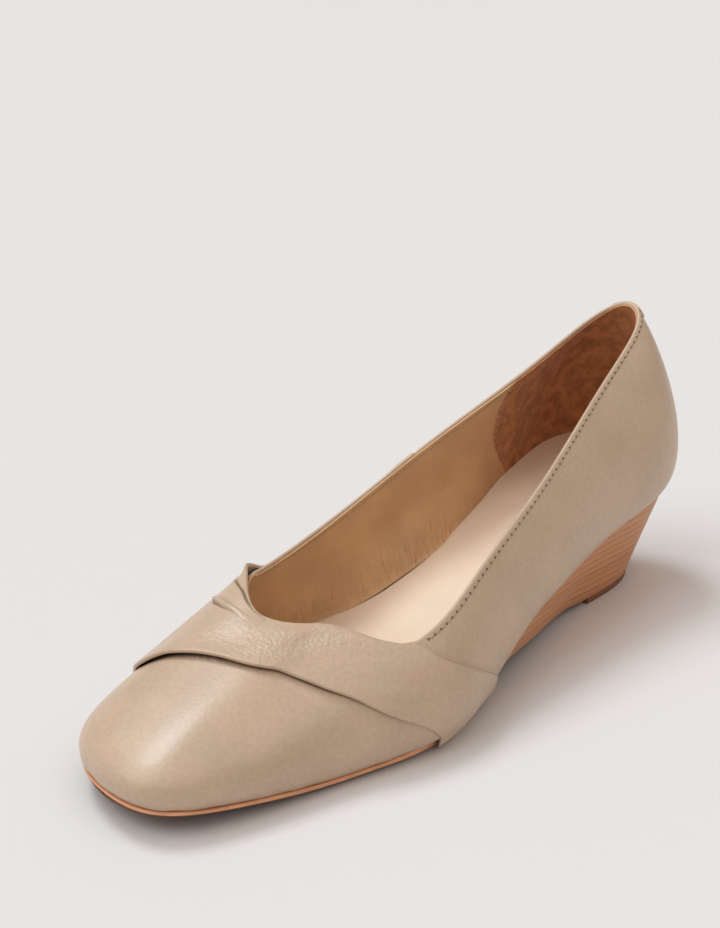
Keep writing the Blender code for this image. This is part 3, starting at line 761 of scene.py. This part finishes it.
def stacked_wood(name, colour, line_colour, layer):
    """Stacked wood-look covering: thin sheets glued in layers, stained and waxed, darker at each joint."""
    tree, shader, where = new_material(name)
    flat = add_node(tree, "ShaderNodeUVMap", uv_map="surface").outputs["UV"]
    parts = add_node(tree, "ShaderNodeSeparateXYZ", {"Vector": flat})
    wander = calc(tree, "MULTIPLY_ADD", noise(tree, where, 28.0, 2.0), 0.5 * MM, parts.outputs["Y"])
    count = calc(tree, "MULTIPLY", wander, 1 / layer)
    streak_at = add_node(tree, "ShaderNodeCombineXYZ", {
        "X": calc(tree, "MULTIPLY", parts.outputs["X"], 14.0), "Y": calc(tree, "MULTIPLY", wander, 1900.0)})
    streaks = noise(tree, streak_at.outputs[0], 1.0, 3.0, Roughness=0.6)
    sheet = add_node(tree, "ShaderNodeTexWhiteNoise", {"W": calc(tree, "FLOOR", count)},
                     noise_dimensions="1D").outputs["Value"]
    share = calc(tree, "FRACT", count)
    middle = calc(tree, "ABSOLUTE", calc(tree, "SUBTRACT", share, 0.5))
    joint = ranged(tree, middle, 0.38, 0.5, 0.0, 1.0)
    pale = ranged(tree, calc(tree, "ABSOLUTE", calc(tree, "SUBTRACT", share, 0.30)), 0.04, 0.18, 1.0, 0.0)
    level = calc(tree, "MULTIPLY_ADD", sheet, 0.12, 0.90)
    level = calc(tree, "MULTIPLY_ADD", calc(tree, "SUBTRACT", streaks, 0.5), 0.4, level)
    level = calc(tree, "MULTIPLY_ADD", pale, 0.16, level)
    height = calc(tree, "MULTIPLY_ADD", joint, -1.0, streaks)
    join(tree, shader, {
        "Base Color": mixed(tree, calc(tree, "MULTIPLY", joint, 0.6), scaled(tree, colour, level),
                            srgb(line_colour)),
        "Normal": relief(tree, height, 0.4, 0.12), "Roughness": ranged(tree, streaks, 0.2, 0.8, 0.38, 0.5),
        "Specular IOR Level": 0.4})


def waxed_sole(name, colour, under_colour, shank_shade_colour):
    """Resin sole sheet: trimmed and waxed edge in tan, matt and darker underneath with a fine texture; its
    lower rounding and its edge under the wedge are darker partly as painted shade.
    """
    tree, shader, where = new_material(name)
    below = field(tree, "underside")
    cloud = noise(tree, where, 180.0, 4.0)
    edge = mixed(tree, field(tree, "shank"), mottled(tree, cloud, colour, 0.82), srgb(shank_shade_colour))
    height = calc(tree, "MULTIPLY_ADD", scatter(tree, where, 620.0), below, cloud)
    join(tree, shader, {
        "Base Color": mixed(tree, below, edge, srgb(under_colour)), "Normal": relief(tree, height, 0.4, 0.15),
        "Roughness": ranged(tree, below, 0.0, 1.0, 0.4, 0.7)})


def fine_matt(name, colour, scale, contrast, roughness):
    """Matt surface with a fine tone and relief: sanded rubber, twisted thread or the bare fibre in a hole,
    whose near-black colour is painted shade.
    """
    tree, shader, where = new_material(name)
    grit = noise(tree, where, scale, 3.0)
    join(tree, shader, {
        "Base Color": mixed(tree, grit, srgb(colour), darker(colour, contrast)),
        "Normal": relief(tree, grit, 0.3, 0.1), "Roughness": roughness})


def studio_paper(name, colour):
    """Seamless paper roll: plain, matt and pale."""
    tree, shader, where = new_material(name)
    cloud = noise(tree, where, 1.5, 1.0)
    join(tree, shader, {
        "Base Color": mixed(tree, cloud, srgb(colour), darker(colour, 0.985)), "Roughness": 0.8,
        "Specular IOR Level": 0.1})


# Slabs of the sole

def under(x):
    """Height of the underside above the floor, flat on it below the ball."""
    return np.maximum(LAST.under_height(x), 0)


def shank_top(x):
    """Height of the thin sole's upper face under the wedge."""
    return under(x) + SHANK_DEPTH


def wedge_foot(edge, share=1.0):
    """Outline of the wedge a share of the way down: leaning forward and narrower towards the back."""
    behind = np.clip(1 - edge[..., 0] / WEDGE_FRONT, 0, 1)
    along = edge[..., 0] + share * WEDGE_LEAN * behind
    across = edge[..., 1] * (1 - share * WEDGE_TAPER * ease(*TAPER_REACH, behind))
    return np.stack([along, across], -1)


def tucked_outline(girth, grow):
    """Outline of the sole's foot: inside the feather edge where the upper overhangs it."""
    along = LAST.outline(girth)[0][..., 0]
    return LAST.outline(girth, grow - table_curves(TUCK_ROWS)[0](along / MM) * MM * (girth > 0))[0]


def edge_girths(start, stop, count):
    """Girths of the rungs' ends on both sides between two distances along; None is the back or the toe."""
    tip = LAST.girth(TIP)
    both = []
    for side, toe in ((1, tip), (-1, tip - LAST.round)):
        girths = np.linspace(0, toe, 800)
        along = LAST.outline(girths)[0][:, 0]
        first = 0.0 if start is None else np.interp(start, along, girths * side) * side
        last = toe if stop is None else np.interp(stop, along, girths * side) * side
        even = np.linspace(0, 1, count)
        both.append(first + (last - first) * even)
    return both


def rung_grid(edges, columns):
    """Flat grid over the sole: rungs from the lateral to the medial edge, closer together at the edges."""
    across = (1 - np.cos(np.linspace(0, 1, columns) * math.pi)) / 2
    return edges[0][:, None] * (1 - across[None, :, None]) + edges[1][:, None] * across[None, :, None]


def rim(grid):
    """Points round a grid: its lateral side, over the front, back along its medial side, over the back."""
    return np.concatenate([grid[:, 0], grid[-1, 1:-1], grid[::-1, -1], grid[0, -2:0:-1]])


def slab(levels):
    """Closed solid through flat grids at rising heights: the first is its floor, the last its roof.

    levels is a list of grids of points in space. Only the rims of those between are used.
    """
    floor, roof = levels[0], levels[-1]
    rows, columns = floor.shape[:2]
    rims = [rim(level) for level in levels[1:-1]]
    points = np.concatenate([floor.reshape(-1, 3), roof.reshape(-1, 3), *rims])
    index = np.arange(rows * columns).reshape(rows, columns)
    quad = np.stack([index[:-1, :-1], index[1:, :-1], index[1:, 1:], index[:-1, 1:]], -1).reshape(-1, 4)
    loop = rim(index[..., None])[:, 0]
    start = 2 * rows * columns
    rings = [loop] + [start + number * len(loop) + np.arange(len(loop)) for number in range(len(rims))] \
        + [loop + rows * columns]
    sides = [np.stack([low, np.roll(low, -1), np.roll(high, -1), high], -1)
             for low, high in zip(rings, rings[1:])]
    return points, [quad, quad[:, ::-1] + rows * columns, *[side[:, ::-1] for side in sides]]


def slab_field(grids):
    """Number for each point of a slab, from a grid of numbers for each of its levels."""
    return np.concatenate([grids[0].ravel(), grids[-1].ravel(), *[rim(grid[..., None])[:, 0]
                                                                  for grid in grids[1:-1]]])


def raise_grid(flat, height):
    """Grid of points in the row frame from a flat grid on the last and a height for each point."""
    return np.concatenate([flat, np.broadcast_to(height, flat.shape[:-1])[..., None]], -1) + LAST.shift


def length(name, description, default):
    """Setting for a length."""
    return bpy.props.FloatProperty(name=name, description=description, default=default, min=0.0,
                                   unit="LENGTH")


def paint(name, what, default):
    """Setting for a colour."""
    return bpy.props.StringProperty(name=name + " Colour", description="sRGB hex value of " + what,
                                    default=default)


class ShoeSettings(bpy.types.PropertyGroup):
    """Sizes and colours of the shoe's finish."""

    leather_depth: length("Leather", "Thickness of the outer leather", 0.00125)
    lining_drop: length("Lining Drop", "How far the lining's cut edge lies below the topline", 0.0005)
    stitch_pitch: length("Stitch Pitch", "Distance from needle hole to needle hole", 0.0027)
    stitch_inset: length("Stitch Inset", "Distance of the stitches below the topline", 0.0018)
    thread_width: length("Thread", "Width of the sewing thread", 0.00042)
    hole_width: length("Needle Hole", "Width of a needle hole", 0.00078)
    grain: length("Grain", "Width of one cell of the leather's grain", 0.0008)
    gloss: bpy.props.FloatProperty(
        name="Roughness", description="Roughness of the leather's finish", default=0.36, min=0.05, max=1.0,
        subtype="FACTOR")
    layer_depth: length("Wood Layer", "Thickness of one layer of the stacked wedge", 0.0029)
    leather_colour: paint("Leather", "the outer leather", "C7AE95")
    lining_colour: paint("Lining", "the smooth lining", "DAB082")
    counter_colour: paint("Heel Lining", "the suede round the heel", "C8895C")
    cut_colour: paint("Cut Edge", "the lining's cut edge", "E0B48C")
    sock_colour: paint("Sock", "the insole's sock", "F0DCC4")
    wood_colour: paint("Wood", "the wedge's layers", "CC8E60")
    joint_colour: paint("Joint", "the joints between layers", "8A5230")
    sole_colour: paint("Sole Edge", "the outsole's waxed edge", "F2B084")
    tread_colour: paint("Tread", "the outsole's underside", "6B4630")
    shank_shade_colour: paint("Shank", "the thin sole's edge under the wedge", "7E5234")
    # the top piece's darker brown than the wood is painted shade
    lift_shade_colour: paint("Top Piece", "the lift under the heel", "8A5A3C")
    thread_colour: paint("Thread", "the sewing thread", "B8A28A")
    # a needle hole's near-black colour is painted shade
    hole_shade_colour: paint("Needle Hole", "the bare fibre in a needle hole", "1C130C")
    floor_colour: paint("Floor", "the paper floor", "E3E2E2")


def settings_of(context):
    """The shoe's settings in the scene."""
    return context.scene.shoe_settings


class SHOE_OT_materials(bpy.types.Operator):
    """Make the shoe's materials"""

    bl_idname = "shoe.materials"
    bl_label = "Materials"

    def execute(self, context):
        s = settings_of(context)
        calf_leather("calf_leather", s.leather_colour, s.grain, s.gloss)
        lining_leather("lining_leather", s.lining_colour, s.counter_colour, s.cut_colour)
        sock_leather("sock_leather", s.sock_colour)
        stacked_wood("stacked_wood_finish", s.wood_colour, s.joint_colour, s.layer_depth)
        waxed_sole("waxed_sole", s.sole_colour, s.tread_colour, s.shank_shade_colour)
        # the top piece is moulded rubber, its darker brown than the wood painted shade; the thread polyester,
        # a needle hole bare fibre in shadow
        fine_matt("lift_rubber", s.lift_shade_colour, 900.0, 0.75, 0.55)
        fine_matt("thread", s.thread_colour, 2200.0, 0.7, 0.6)
        fine_matt("pinhole", s.hole_shade_colour, 2500.0, 0.5, 0.95)
        return {"FINISHED"}


class SHOE_OT_upper(bpy.types.Operator):
    """Make the upper's outer leather and its lining"""

    bl_idname = "shoe.upper"
    bl_label = "Upper"

    def execute(self, context):
        s = settings_of(context)
        rows, columns = UPPER_GRID
        girth = np.linspace(0, LAST.round, rows, endpoint=False)[:, None]
        ceiling = covered_top(girth, COVERED_TOP) - s.leather_depth / 2 / LAST.reach(girth)
        height = ceiling * np.linspace(0, 1, columns)[None]
        girth = girth + 0 * height
        outer = LAST.raised(girth, height, skin_relief(girth, height))
        outer[..., 2] -= HEM * (1 - ease(0, 0.04, height))
        # painted shade: darker in the side seam's groove and on the vamp under the band's front edge, where
        # the band's shadow falls
        shade = 1.3 * side_seam(girth, height) + 1.6 * shade_under_band(girth, height)
        loops, fields = shell_loops(outer, LAST.raised(girth, height, -s.leather_depth + 0 * height), {
            "crease": (shade, 0, 0, 0), "pebble": (pebbled(girth, height), 0, 0, 0)})
        add_piece("upper_leather", loops, [grid_faces(*loops.shape[:2], True, True)],
                  bpy.data.materials["calf_leather"], "upper", fields)

        rows, columns = LINING_GRID
        girth = np.linspace(0, LAST.round, rows, endpoint=False)[:, None]
        ceiling = covered_top(girth, 0.995) - s.lining_drop / LAST.reach(girth)
        height = ceiling * np.linspace(0, 1, columns)[None]
        girth = girth + 0 * height
        outer = LAST.raised(girth, height, -s.leather_depth + 0 * height)
        inner = lining_face(girth, height)
        # round the throat the lining stands up behind the band's edge
        rise = 0.8 * MM * ease(0.93, 1.0, height / ceiling) * (1 - covered_top(girth, 0.0))
        outer[..., 2] += rise
        inner[..., 2] += rise
        lateral = ease(-0.2 * MM, 0.2 * MM, LAST.girth(2.25) - girth)
        counter = np.maximum(ease(-0.2 * MM, 0.2 * MM, girth - counter_girth(height)), lateral)
        place = LAST.place(girth)
        wrinkles = bell(place, 14.7, 0.75) * (1 - ease(0.08, 0.42, height)) \
            + 0.6 * bell(place, 13.5, 0.5) * (1 - ease(0.1, 0.5, height))
        points = np.concatenate([outer, inner[:, ::-1]], 1)
        edge = np.zeros_like(points[..., 0])
        # the cut edge is pale on the lateral side; on the medial side it is left in the lining's colour as
        # painted shade
        pale = 1 - 0.9 * ease(12.0, 13.0, place[:, :1]) * (1 - ease(17.3, 18.0, place[:, :1]))
        edge[:, columns - 2:columns] = pale
        edge[:, columns:columns + 1] = 0.3 * pale
        flat = np.stack([girth, height * 0.05], -1)
        add_piece("upper_lining", points, [grid_faces(*points.shape[:2], True, True)],
                  bpy.data.materials["lining_leather"], None,
                  {"counter": np.concatenate([counter, counter[:, ::-1]], 1), "cut_edge": edge,
                   "crease": np.concatenate([0 * wrinkles, wrinkles[:, ::-1]], 1)},
                  np.concatenate([flat, flat[:, ::-1]], 1), 50)
        return {"FINISHED"}


class SHOE_OT_band(bpy.types.Operator):
    """Make the pleated band over the vamp"""

    bl_idname = "shoe.band"
    bl_label = "Band"

    def execute(self, context):
        rows, columns = BAND_GRID
        tuck = np.append(np.linspace(1, 0, BAND_TUCK, endpoint=False), np.zeros(rows))[:, None]
        across = np.append(np.zeros(BAND_TUCK), np.linspace(0, 1, rows))[:, None]
        even = np.linspace(0, 1, columns)[None]
        front, rear = (curve(across) for curve in table_curves(BAND_EDGES, BAND_EVEN)[:2])
        girth, height = band_surface(across, front + (rear - front) * even)
        width = np.linalg.norm(np.diff(LAST.wall(girth, height), axis=1), axis=-1).sum(1)[:, None]
        inset = BAND_WALL / 2 * MM / width
        even = inset + (1 - 2 * inset) * even
        share = front + (rear - front) * even
        girth, height = band_surface(across, share)
        up, down, crease = band_lift(across, even, share, width / (rear - front))
        faces = []
        for lift in (up, down):
            face = LAST.raised(girth, height, lift)
            # the lateral end rounds under the foot's edge, down to the sole's
            turn = tuck * math.pi / 2
            pull = (lift + table_curves(TUCK_ROWS)[0](LAST.outline(girth)[0][..., 0] / MM) * MM + 0.8 * MM) \
                * (1 - np.cos(turn))
            face[..., :2] -= LAST.outline(girth)[1] * pull[..., None]
            foot_up = (0.9 + 2.2 * bell(LAST.outline(girth)[0][..., 0], 0.140, 0.012)) * MM
            face[..., 2] += (foot_up - face[..., 2]) * np.sin(turn)
            faces.append(face)
        pebble = bell(across, 0.42, 0.13) * bell(share, 0.5, 0.42) + 0.35 * bell(across, 0.62, 0.08) \
            * bell(share, 0.4, 0.3)
        # painted shade in the folds' creases and a little on both edges; the inner face is darker partly as
        # its flesh side, partly as painted shade under the band
        loops, fields = shell_loops(*faces, {"crease": (crease, 0.1, 1.2, 0.1), "pebble": (pebble, 0, 0, 0)},
                                    count=8)
        add_piece("band_leather", loops, tube_faces(*loops.shape[:2]), bpy.data.materials["calf_leather"],
                  "vamp_band", fields, None, 60)
        return {"FINISHED"}


class SHOE_OT_heel_tab(bpy.types.Operator):
    """Make the half-round patch at the top of the back"""

    bl_idname = "shoe.heel_tab"
    bl_label = "Heel Tab"

    def execute(self, context):
        sideways, down = (np.linspace(low, 1, count) for low, count in zip((-1, 0), TAB_GRID))
        sideways, down = sideways[:, None], down[None]
        girth, low = tab_line(sideways)
        height = low + (TAB_TOP - low) * down
        girth = girth + 0 * down
        thin = 0.5 * MM * (ease(-0.05, 0.12, down) * ease(-0.02, 0.05, 1 - np.abs(sideways)))
        loops, fields = shell_loops(
            LAST.raised(girth, height, skin_relief(girth, height) + 0.05 * MM + thin),
            LAST.raised(girth, height, -0.3 * MM + 0 * height), {
                "crease": (0, 0, 0, 0), "pebble": (0.2, 0, 0, 0)})
        add_piece("heel_tab_leather", loops, tube_faces(*loops.shape[:2]), bpy.data.materials["calf_leather"],
                  "heel_tab", fields, None, 60)
        return {"FINISHED"}


class SHOE_OT_stitches(bpy.types.Operator):
    """Sew the rows of stitches along the topline, the heel tab and the lining"""

    bl_idname = "shoe.stitches"
    bl_label = "Stitches"

    def execute(self, context):
        s = settings_of(context)
        girth = np.linspace(LAST.girth(13.25) - LAST.round, LAST.girth(4.93), 700)
        height = below_topline(girth, s.stitch_inset)
        out = LAST.outward(girth, height)
        on_tab = 1 - ease(12.2 * MM, 12.9 * MM, np.abs(girth))
        lift = skin_relief(girth, height) + 0.55 * MM * on_tab + 0.04 * MM
        stitch_row("topline", LAST.raised(girth, height, lift), out, s.stitch_pitch, s)

        girth, height = tab_line(np.linspace(-0.93, 0.93, 120), 0.86)
        lift = skin_relief(girth, height) + 0.58 * MM
        stitch_row("heel_tab", LAST.raised(girth, height, lift), LAST.outward(girth, height),
                   s.stitch_pitch * 0.75, s)

        height = np.linspace(0.95, 0.17, 120)
        girth = counter_girth(height) + 1.3 * MM
        stitch_row("lining_seam", lining_face(girth, height, 0.02 * MM), -LAST.outward(girth, height),
                   s.stitch_pitch, s, 0.7)
        girth = np.linspace(LAST.girth(12.9), LAST.girth(15.7), 300)
        height = below_topline(girth, s.stitch_inset * 1.1)
        stitch_row("lining_edge", lining_face(girth, height, 0.02 * MM), -LAST.outward(girth, height),
                   s.stitch_pitch, s, 0.5)
        return {"FINISHED"}


class SHOE_OT_insole(bpy.types.Operator):
    """Make the insole with its sock"""

    bl_idname = "shoe.insole"
    bl_label = "Insole"

    def execute(self, context):
        girths = edge_girths(None, None, 220)
        levels = []
        for inset, below in ((0.15, 1.8), (0.0, 0.7), (0.12, 0.25), (0.5, 0.03), (0.8, 0.0)):
            flat = rung_grid([self.foot(girth, inset * MM, below * MM) for girth in girths], 40)
            along = flat[..., 0]
            dish = (1 - np.linspace(-1, 1, 40)[None] ** 2) * 0.5 * MM * (bell(along, 0.11, 0.05)
                                                                         - bell(along, 0.03, 0.035))
            levels.append(raise_grid(flat, LAST.feather_height(along) + self.depth(along) - below * MM
                                     + dish * (below == 0)))
        points, faces = slab(levels)
        add_piece("insole_sock", points, faces, bpy.data.materials["sock_leather"], "insole",
                  None, None, 50)
        return {"FINISHED"}

    def depth(self, along):
        """Height of the insole's face over the feather edge: thicker in the heel."""
        return 2.2 * MM + 3.2 * MM * (1 - ease(0.045, 0.09, along))

    def foot(self, girth, inset, below):
        """Line where the insole's face meets the lining, found up the lining's wall, and inset from it."""
        height = np.linspace(0, 0.4, 41)[None]
        face = lining_face(girth[:, None] + 0 * height, height + 0 * girth[:, None], inset) - LAST.shift
        over = face[..., 2] - LAST.feather_height(face[..., 0]) - self.depth(face[..., 0]) + below
        index = np.clip((over < 0).sum(1), 1, 40)
        rows = np.arange(len(girth))
        low, high = over[rows, index - 1], over[rows, index]
        t = np.clip(-low / np.maximum(high - low, 1e-9), 0, 1)[:, None]
        return (face[rows, index - 1] * (1 - t) + face[rows, index] * t)[:, :2]


class SHOE_OT_sole(bpy.types.Operator):
    """Make the outsole, the stacked wedge and the top piece"""

    bl_idname = "shoe.sole"
    bl_label = "Sole"

    def execute(self, context):
        self.outsole()
        self.wedge()
        self.top_piece()
        return {"FINISHED"}

    def outsole(self):
        """Outsole: a trimmed edge round the forefoot and a thin shank under the wedge."""
        girths = edge_girths(PIECE_FRONT + 3 * GAP, None, 260)
        behind = [1 - ease(WEDGE_FRONT - 15 * MM, WEDGE_FRONT, LAST.outline(girth)[0][:, 0])
                  for girth in girths]
        levels, under_field = [], []
        hollow = np.abs(np.linspace(-1, 1, 24)[None]) ** 5
        # the edge's lower rounding takes some of the underside's dark colour as painted shade
        for inset, share, below in ((0.5, 0.0, 1.0), (0.15, 0.07, 0.3), (0.0, 0.22, 0.0), (0.0, 0.8, 0.0),
                                    (0.12, 0.95, 0.0), (0.5, 1.0, 0.0)):
            flat = rung_grid([wedge_foot(tucked_outline(girth, SOLE_PROUD - inset * MM - back * SHANK_INSET))
                              for girth, back in zip(girths, behind)], 24)
            along = flat[..., 0]
            fore = ease(WEDGE_FRONT - 2 * MM, WEDGE_FRONT + 8 * MM, along)
            low = under(along) + SOLE_RISE * fore * (hollow if share == 0 else 1)
            high = shank_top(along) * (1 - fore) + (LAST.feather_height(along) - GAP - HEM) * fore
            levels.append(raise_grid(flat, low + (high - low) * share))
            under_field.append(np.full(along.shape, below))
        points, faces = slab(levels)
        # the shank's edge under the wedge gets the darker shank colour: partly the sole's dark bottom, partly
        # painted shade
        shank = 1 - ease(WEDGE_FRONT - 0.03, WEDGE_FRONT + 0.01, points[:, 0] - LAST.shift[0])
        add_piece("outsole_sheet", points, faces, bpy.data.materials["waxed_sole"], "outsole",
                  {"underside": slab_field(under_field), "shank": shank}, None, 50)

    def wedge(self):
        """Wedge: ruled from the feather edge to its smaller foot, its layers parallel to the underside."""
        girths = edge_girths(None, WEDGE_FRONT, 240)
        levels, layers, runs = [], [], []
        for share in (0.0, 0.03, *np.linspace(0.1, 0.9, 14), 0.97, 1.0):
            pull = WEDGE_PROUD - 0.35 * MM * bell(share, 1.0, 0.02)
            top = rung_grid([LAST.outline(girth, pull)[0] for girth in girths], 16)
            foot = rung_grid([wedge_foot(tucked_outline(girth, pull)) for girth in girths], 16)
            on_piece = 1 - ease(PIECE_FRONT, PIECE_FRONT + 0.02, foot[..., 0])
            foot_up = (PIECE_DEPTH * on_piece + shank_top(foot[..., 0]) * (1 - on_piece)) + GAP
            here = top * share + foot * (1 - share)
            up = foot_up * (1 - share) + (LAST.feather_height(top[..., 0]) - GAP) * share
            levels.append(raise_grid(here, up))
            layers.append(up - under(here[..., 0])
                          * ease(PIECE_FRONT - 0.02, PIECE_FRONT + 0.03, here[..., 0]))
            runs.append(here[..., 0])
        points, faces = slab(levels)
        add_piece("wedge_stack", points, faces, bpy.data.materials["stacked_wood_finish"],
                  "wedge", None, np.stack([slab_field(runs), slab_field(layers)], -1), 50)

    def top_piece(self):
        """Top piece: the lift that touches the floor, its lower corner slightly rounded."""
        girths = edge_girths(None, PIECE_FRONT, 120)
        levels = []
        for inset, up in ((0.45, 0.0), (0.15, 0.12), (0.0, 0.4), (0.0, 1.9), (0.1, 2.12), (0.3, 2.2)):
            flat = rung_grid([wedge_foot(LAST.outline(girth, -inset * MM)[0]) for girth in girths], 14)
            levels.append(raise_grid(flat, up * MM))
        points, faces = slab(levels)
        add_piece("lift", points, faces, bpy.data.materials["lift_rubber"], "top_piece",
                  None, None, 50)


class SHOE_OT_stage(bpy.types.Operator):
    """Set the floor, the lights and the photograph's camera"""

    bl_idname = "shoe.stage"
    bl_label = "Stage"

    def execute(self, context):
        s = settings_of(context)
        self.floor(s)
        self.world()
        for light in LIGHTS:
            self.sun(*light)
        context.scene.view_settings.view_transform = "Standard"
        self.camera(context)
        return {"FINISHED"}

    def floor(self, s):
        """Flat sheet of paper under the shoe, far wider than the view."""
        half = FLOOR_HALF
        mesh = bpy.data.meshes.new("floor")
        mesh.from_pydata([(-half, -half, 0), (half, -half, 0), (half, half, 0), (-half, half, 0)], [],
                         [(0, 1, 2, 3)])
        made = bpy.data.objects.new("floor", mesh)
        studio_paper("studio_paper", s.floor_colour)
        made.data.materials.append(bpy.data.materials["studio_paper"])
        bpy.context.scene.collection.objects.link(made)

    def world(self):
        """Even pale light from all round."""
        world = bpy.data.worlds.new("studio")
        bpy.context.scene.world = world
        world.use_nodes = True
        back = world.node_tree.nodes["Background"]
        back.inputs["Color"].default_value = srgb(SKY_COLOUR)
        back.inputs["Strength"].default_value = SKY_STRENGTH

    def sun(self, name, azimuth, elevation, spread, strength, colour):
        """Wide soft light from a direction: a large softbox far away."""
        data = bpy.data.lights.new(name, "SUN")
        data.angle = math.radians(spread)
        data.energy = strength
        data.color = srgb(colour)[:3]
        turn, rise = math.radians(azimuth), math.radians(elevation)
        source = Vector((math.cos(turn) * math.cos(rise), math.sin(turn) * math.cos(rise), math.sin(rise)))
        made = bpy.data.objects.new(name, data)
        made.matrix_world = source.to_track_quat("Z", "Y").to_matrix().to_4x4()
        bpy.context.scene.collection.objects.link(made)

    def camera(self, context):
        """The photograph's own camera, turned by its fitted angles."""
        yaw, down, roll = (math.radians(angle) for angle in (CAMERA_YAW, CAMERA_DOWN, CAMERA_ROLL))
        ahead = Vector((math.cos(yaw) * math.cos(down), math.sin(yaw) * math.cos(down), -math.sin(down)))
        right = Vector((math.sin(yaw), -math.cos(yaw), 0))
        up = right.cross(ahead)
        right, up = right * math.cos(roll) + up * math.sin(roll), up * math.cos(roll) - right * math.sin(roll)
        data = bpy.data.cameras.new("camera")
        data.lens = CAMERA_LENS
        data.sensor_width = CAMERA_SENSOR
        data.clip_start = 0.02
        made = bpy.data.objects.new("camera", data)
        turn = Matrix((right, up, -ahead)).transposed().to_4x4()
        made.matrix_world = Matrix.Translation(CAMERA_PLACE) @ turn
        context.scene.collection.objects.link(made)
        context.scene.camera = made


class SHOE_PT_panel(bpy.types.Panel):
    """Shoe settings and steps in the sidebar"""

    bl_idname = "SHOE_PT_panel"
    bl_label = "Wedge Pump"
    bl_space_type = "VIEW_3D"
    bl_region_type = "UI"
    bl_category = "Shoe"

    def draw(self, context):
        layout = self.layout
        settings = settings_of(context)
        for name in ShoeSettings.__annotations__:
            layout.prop(settings, name)
        for step in STEPS:
            layout.operator(step.bl_idname)


STEPS = (SHOE_OT_materials, SHOE_OT_upper, SHOE_OT_band, SHOE_OT_heel_tab, SHOE_OT_stitches, SHOE_OT_insole,
         SHOE_OT_sole, SHOE_OT_stage)


def register():
    for made in (ShoeSettings, *STEPS, SHOE_PT_panel):
        bpy.utils.register_class(made)
    bpy.types.Scene.shoe_settings = bpy.props.PointerProperty(type=ShoeSettings)


def unregister():
    del bpy.types.Scene.shoe_settings
    for made in (SHOE_PT_panel, *reversed(STEPS), ShoeSettings):
        bpy.utils.unregister_class(made)


def main():
    register()
    for step in STEPS:
        group, name = step.bl_idname.split(".")
        getattr(getattr(bpy.ops, group), name)()
    bpy.context.view_layer.update()


if __name__ == "__main__":
    main()
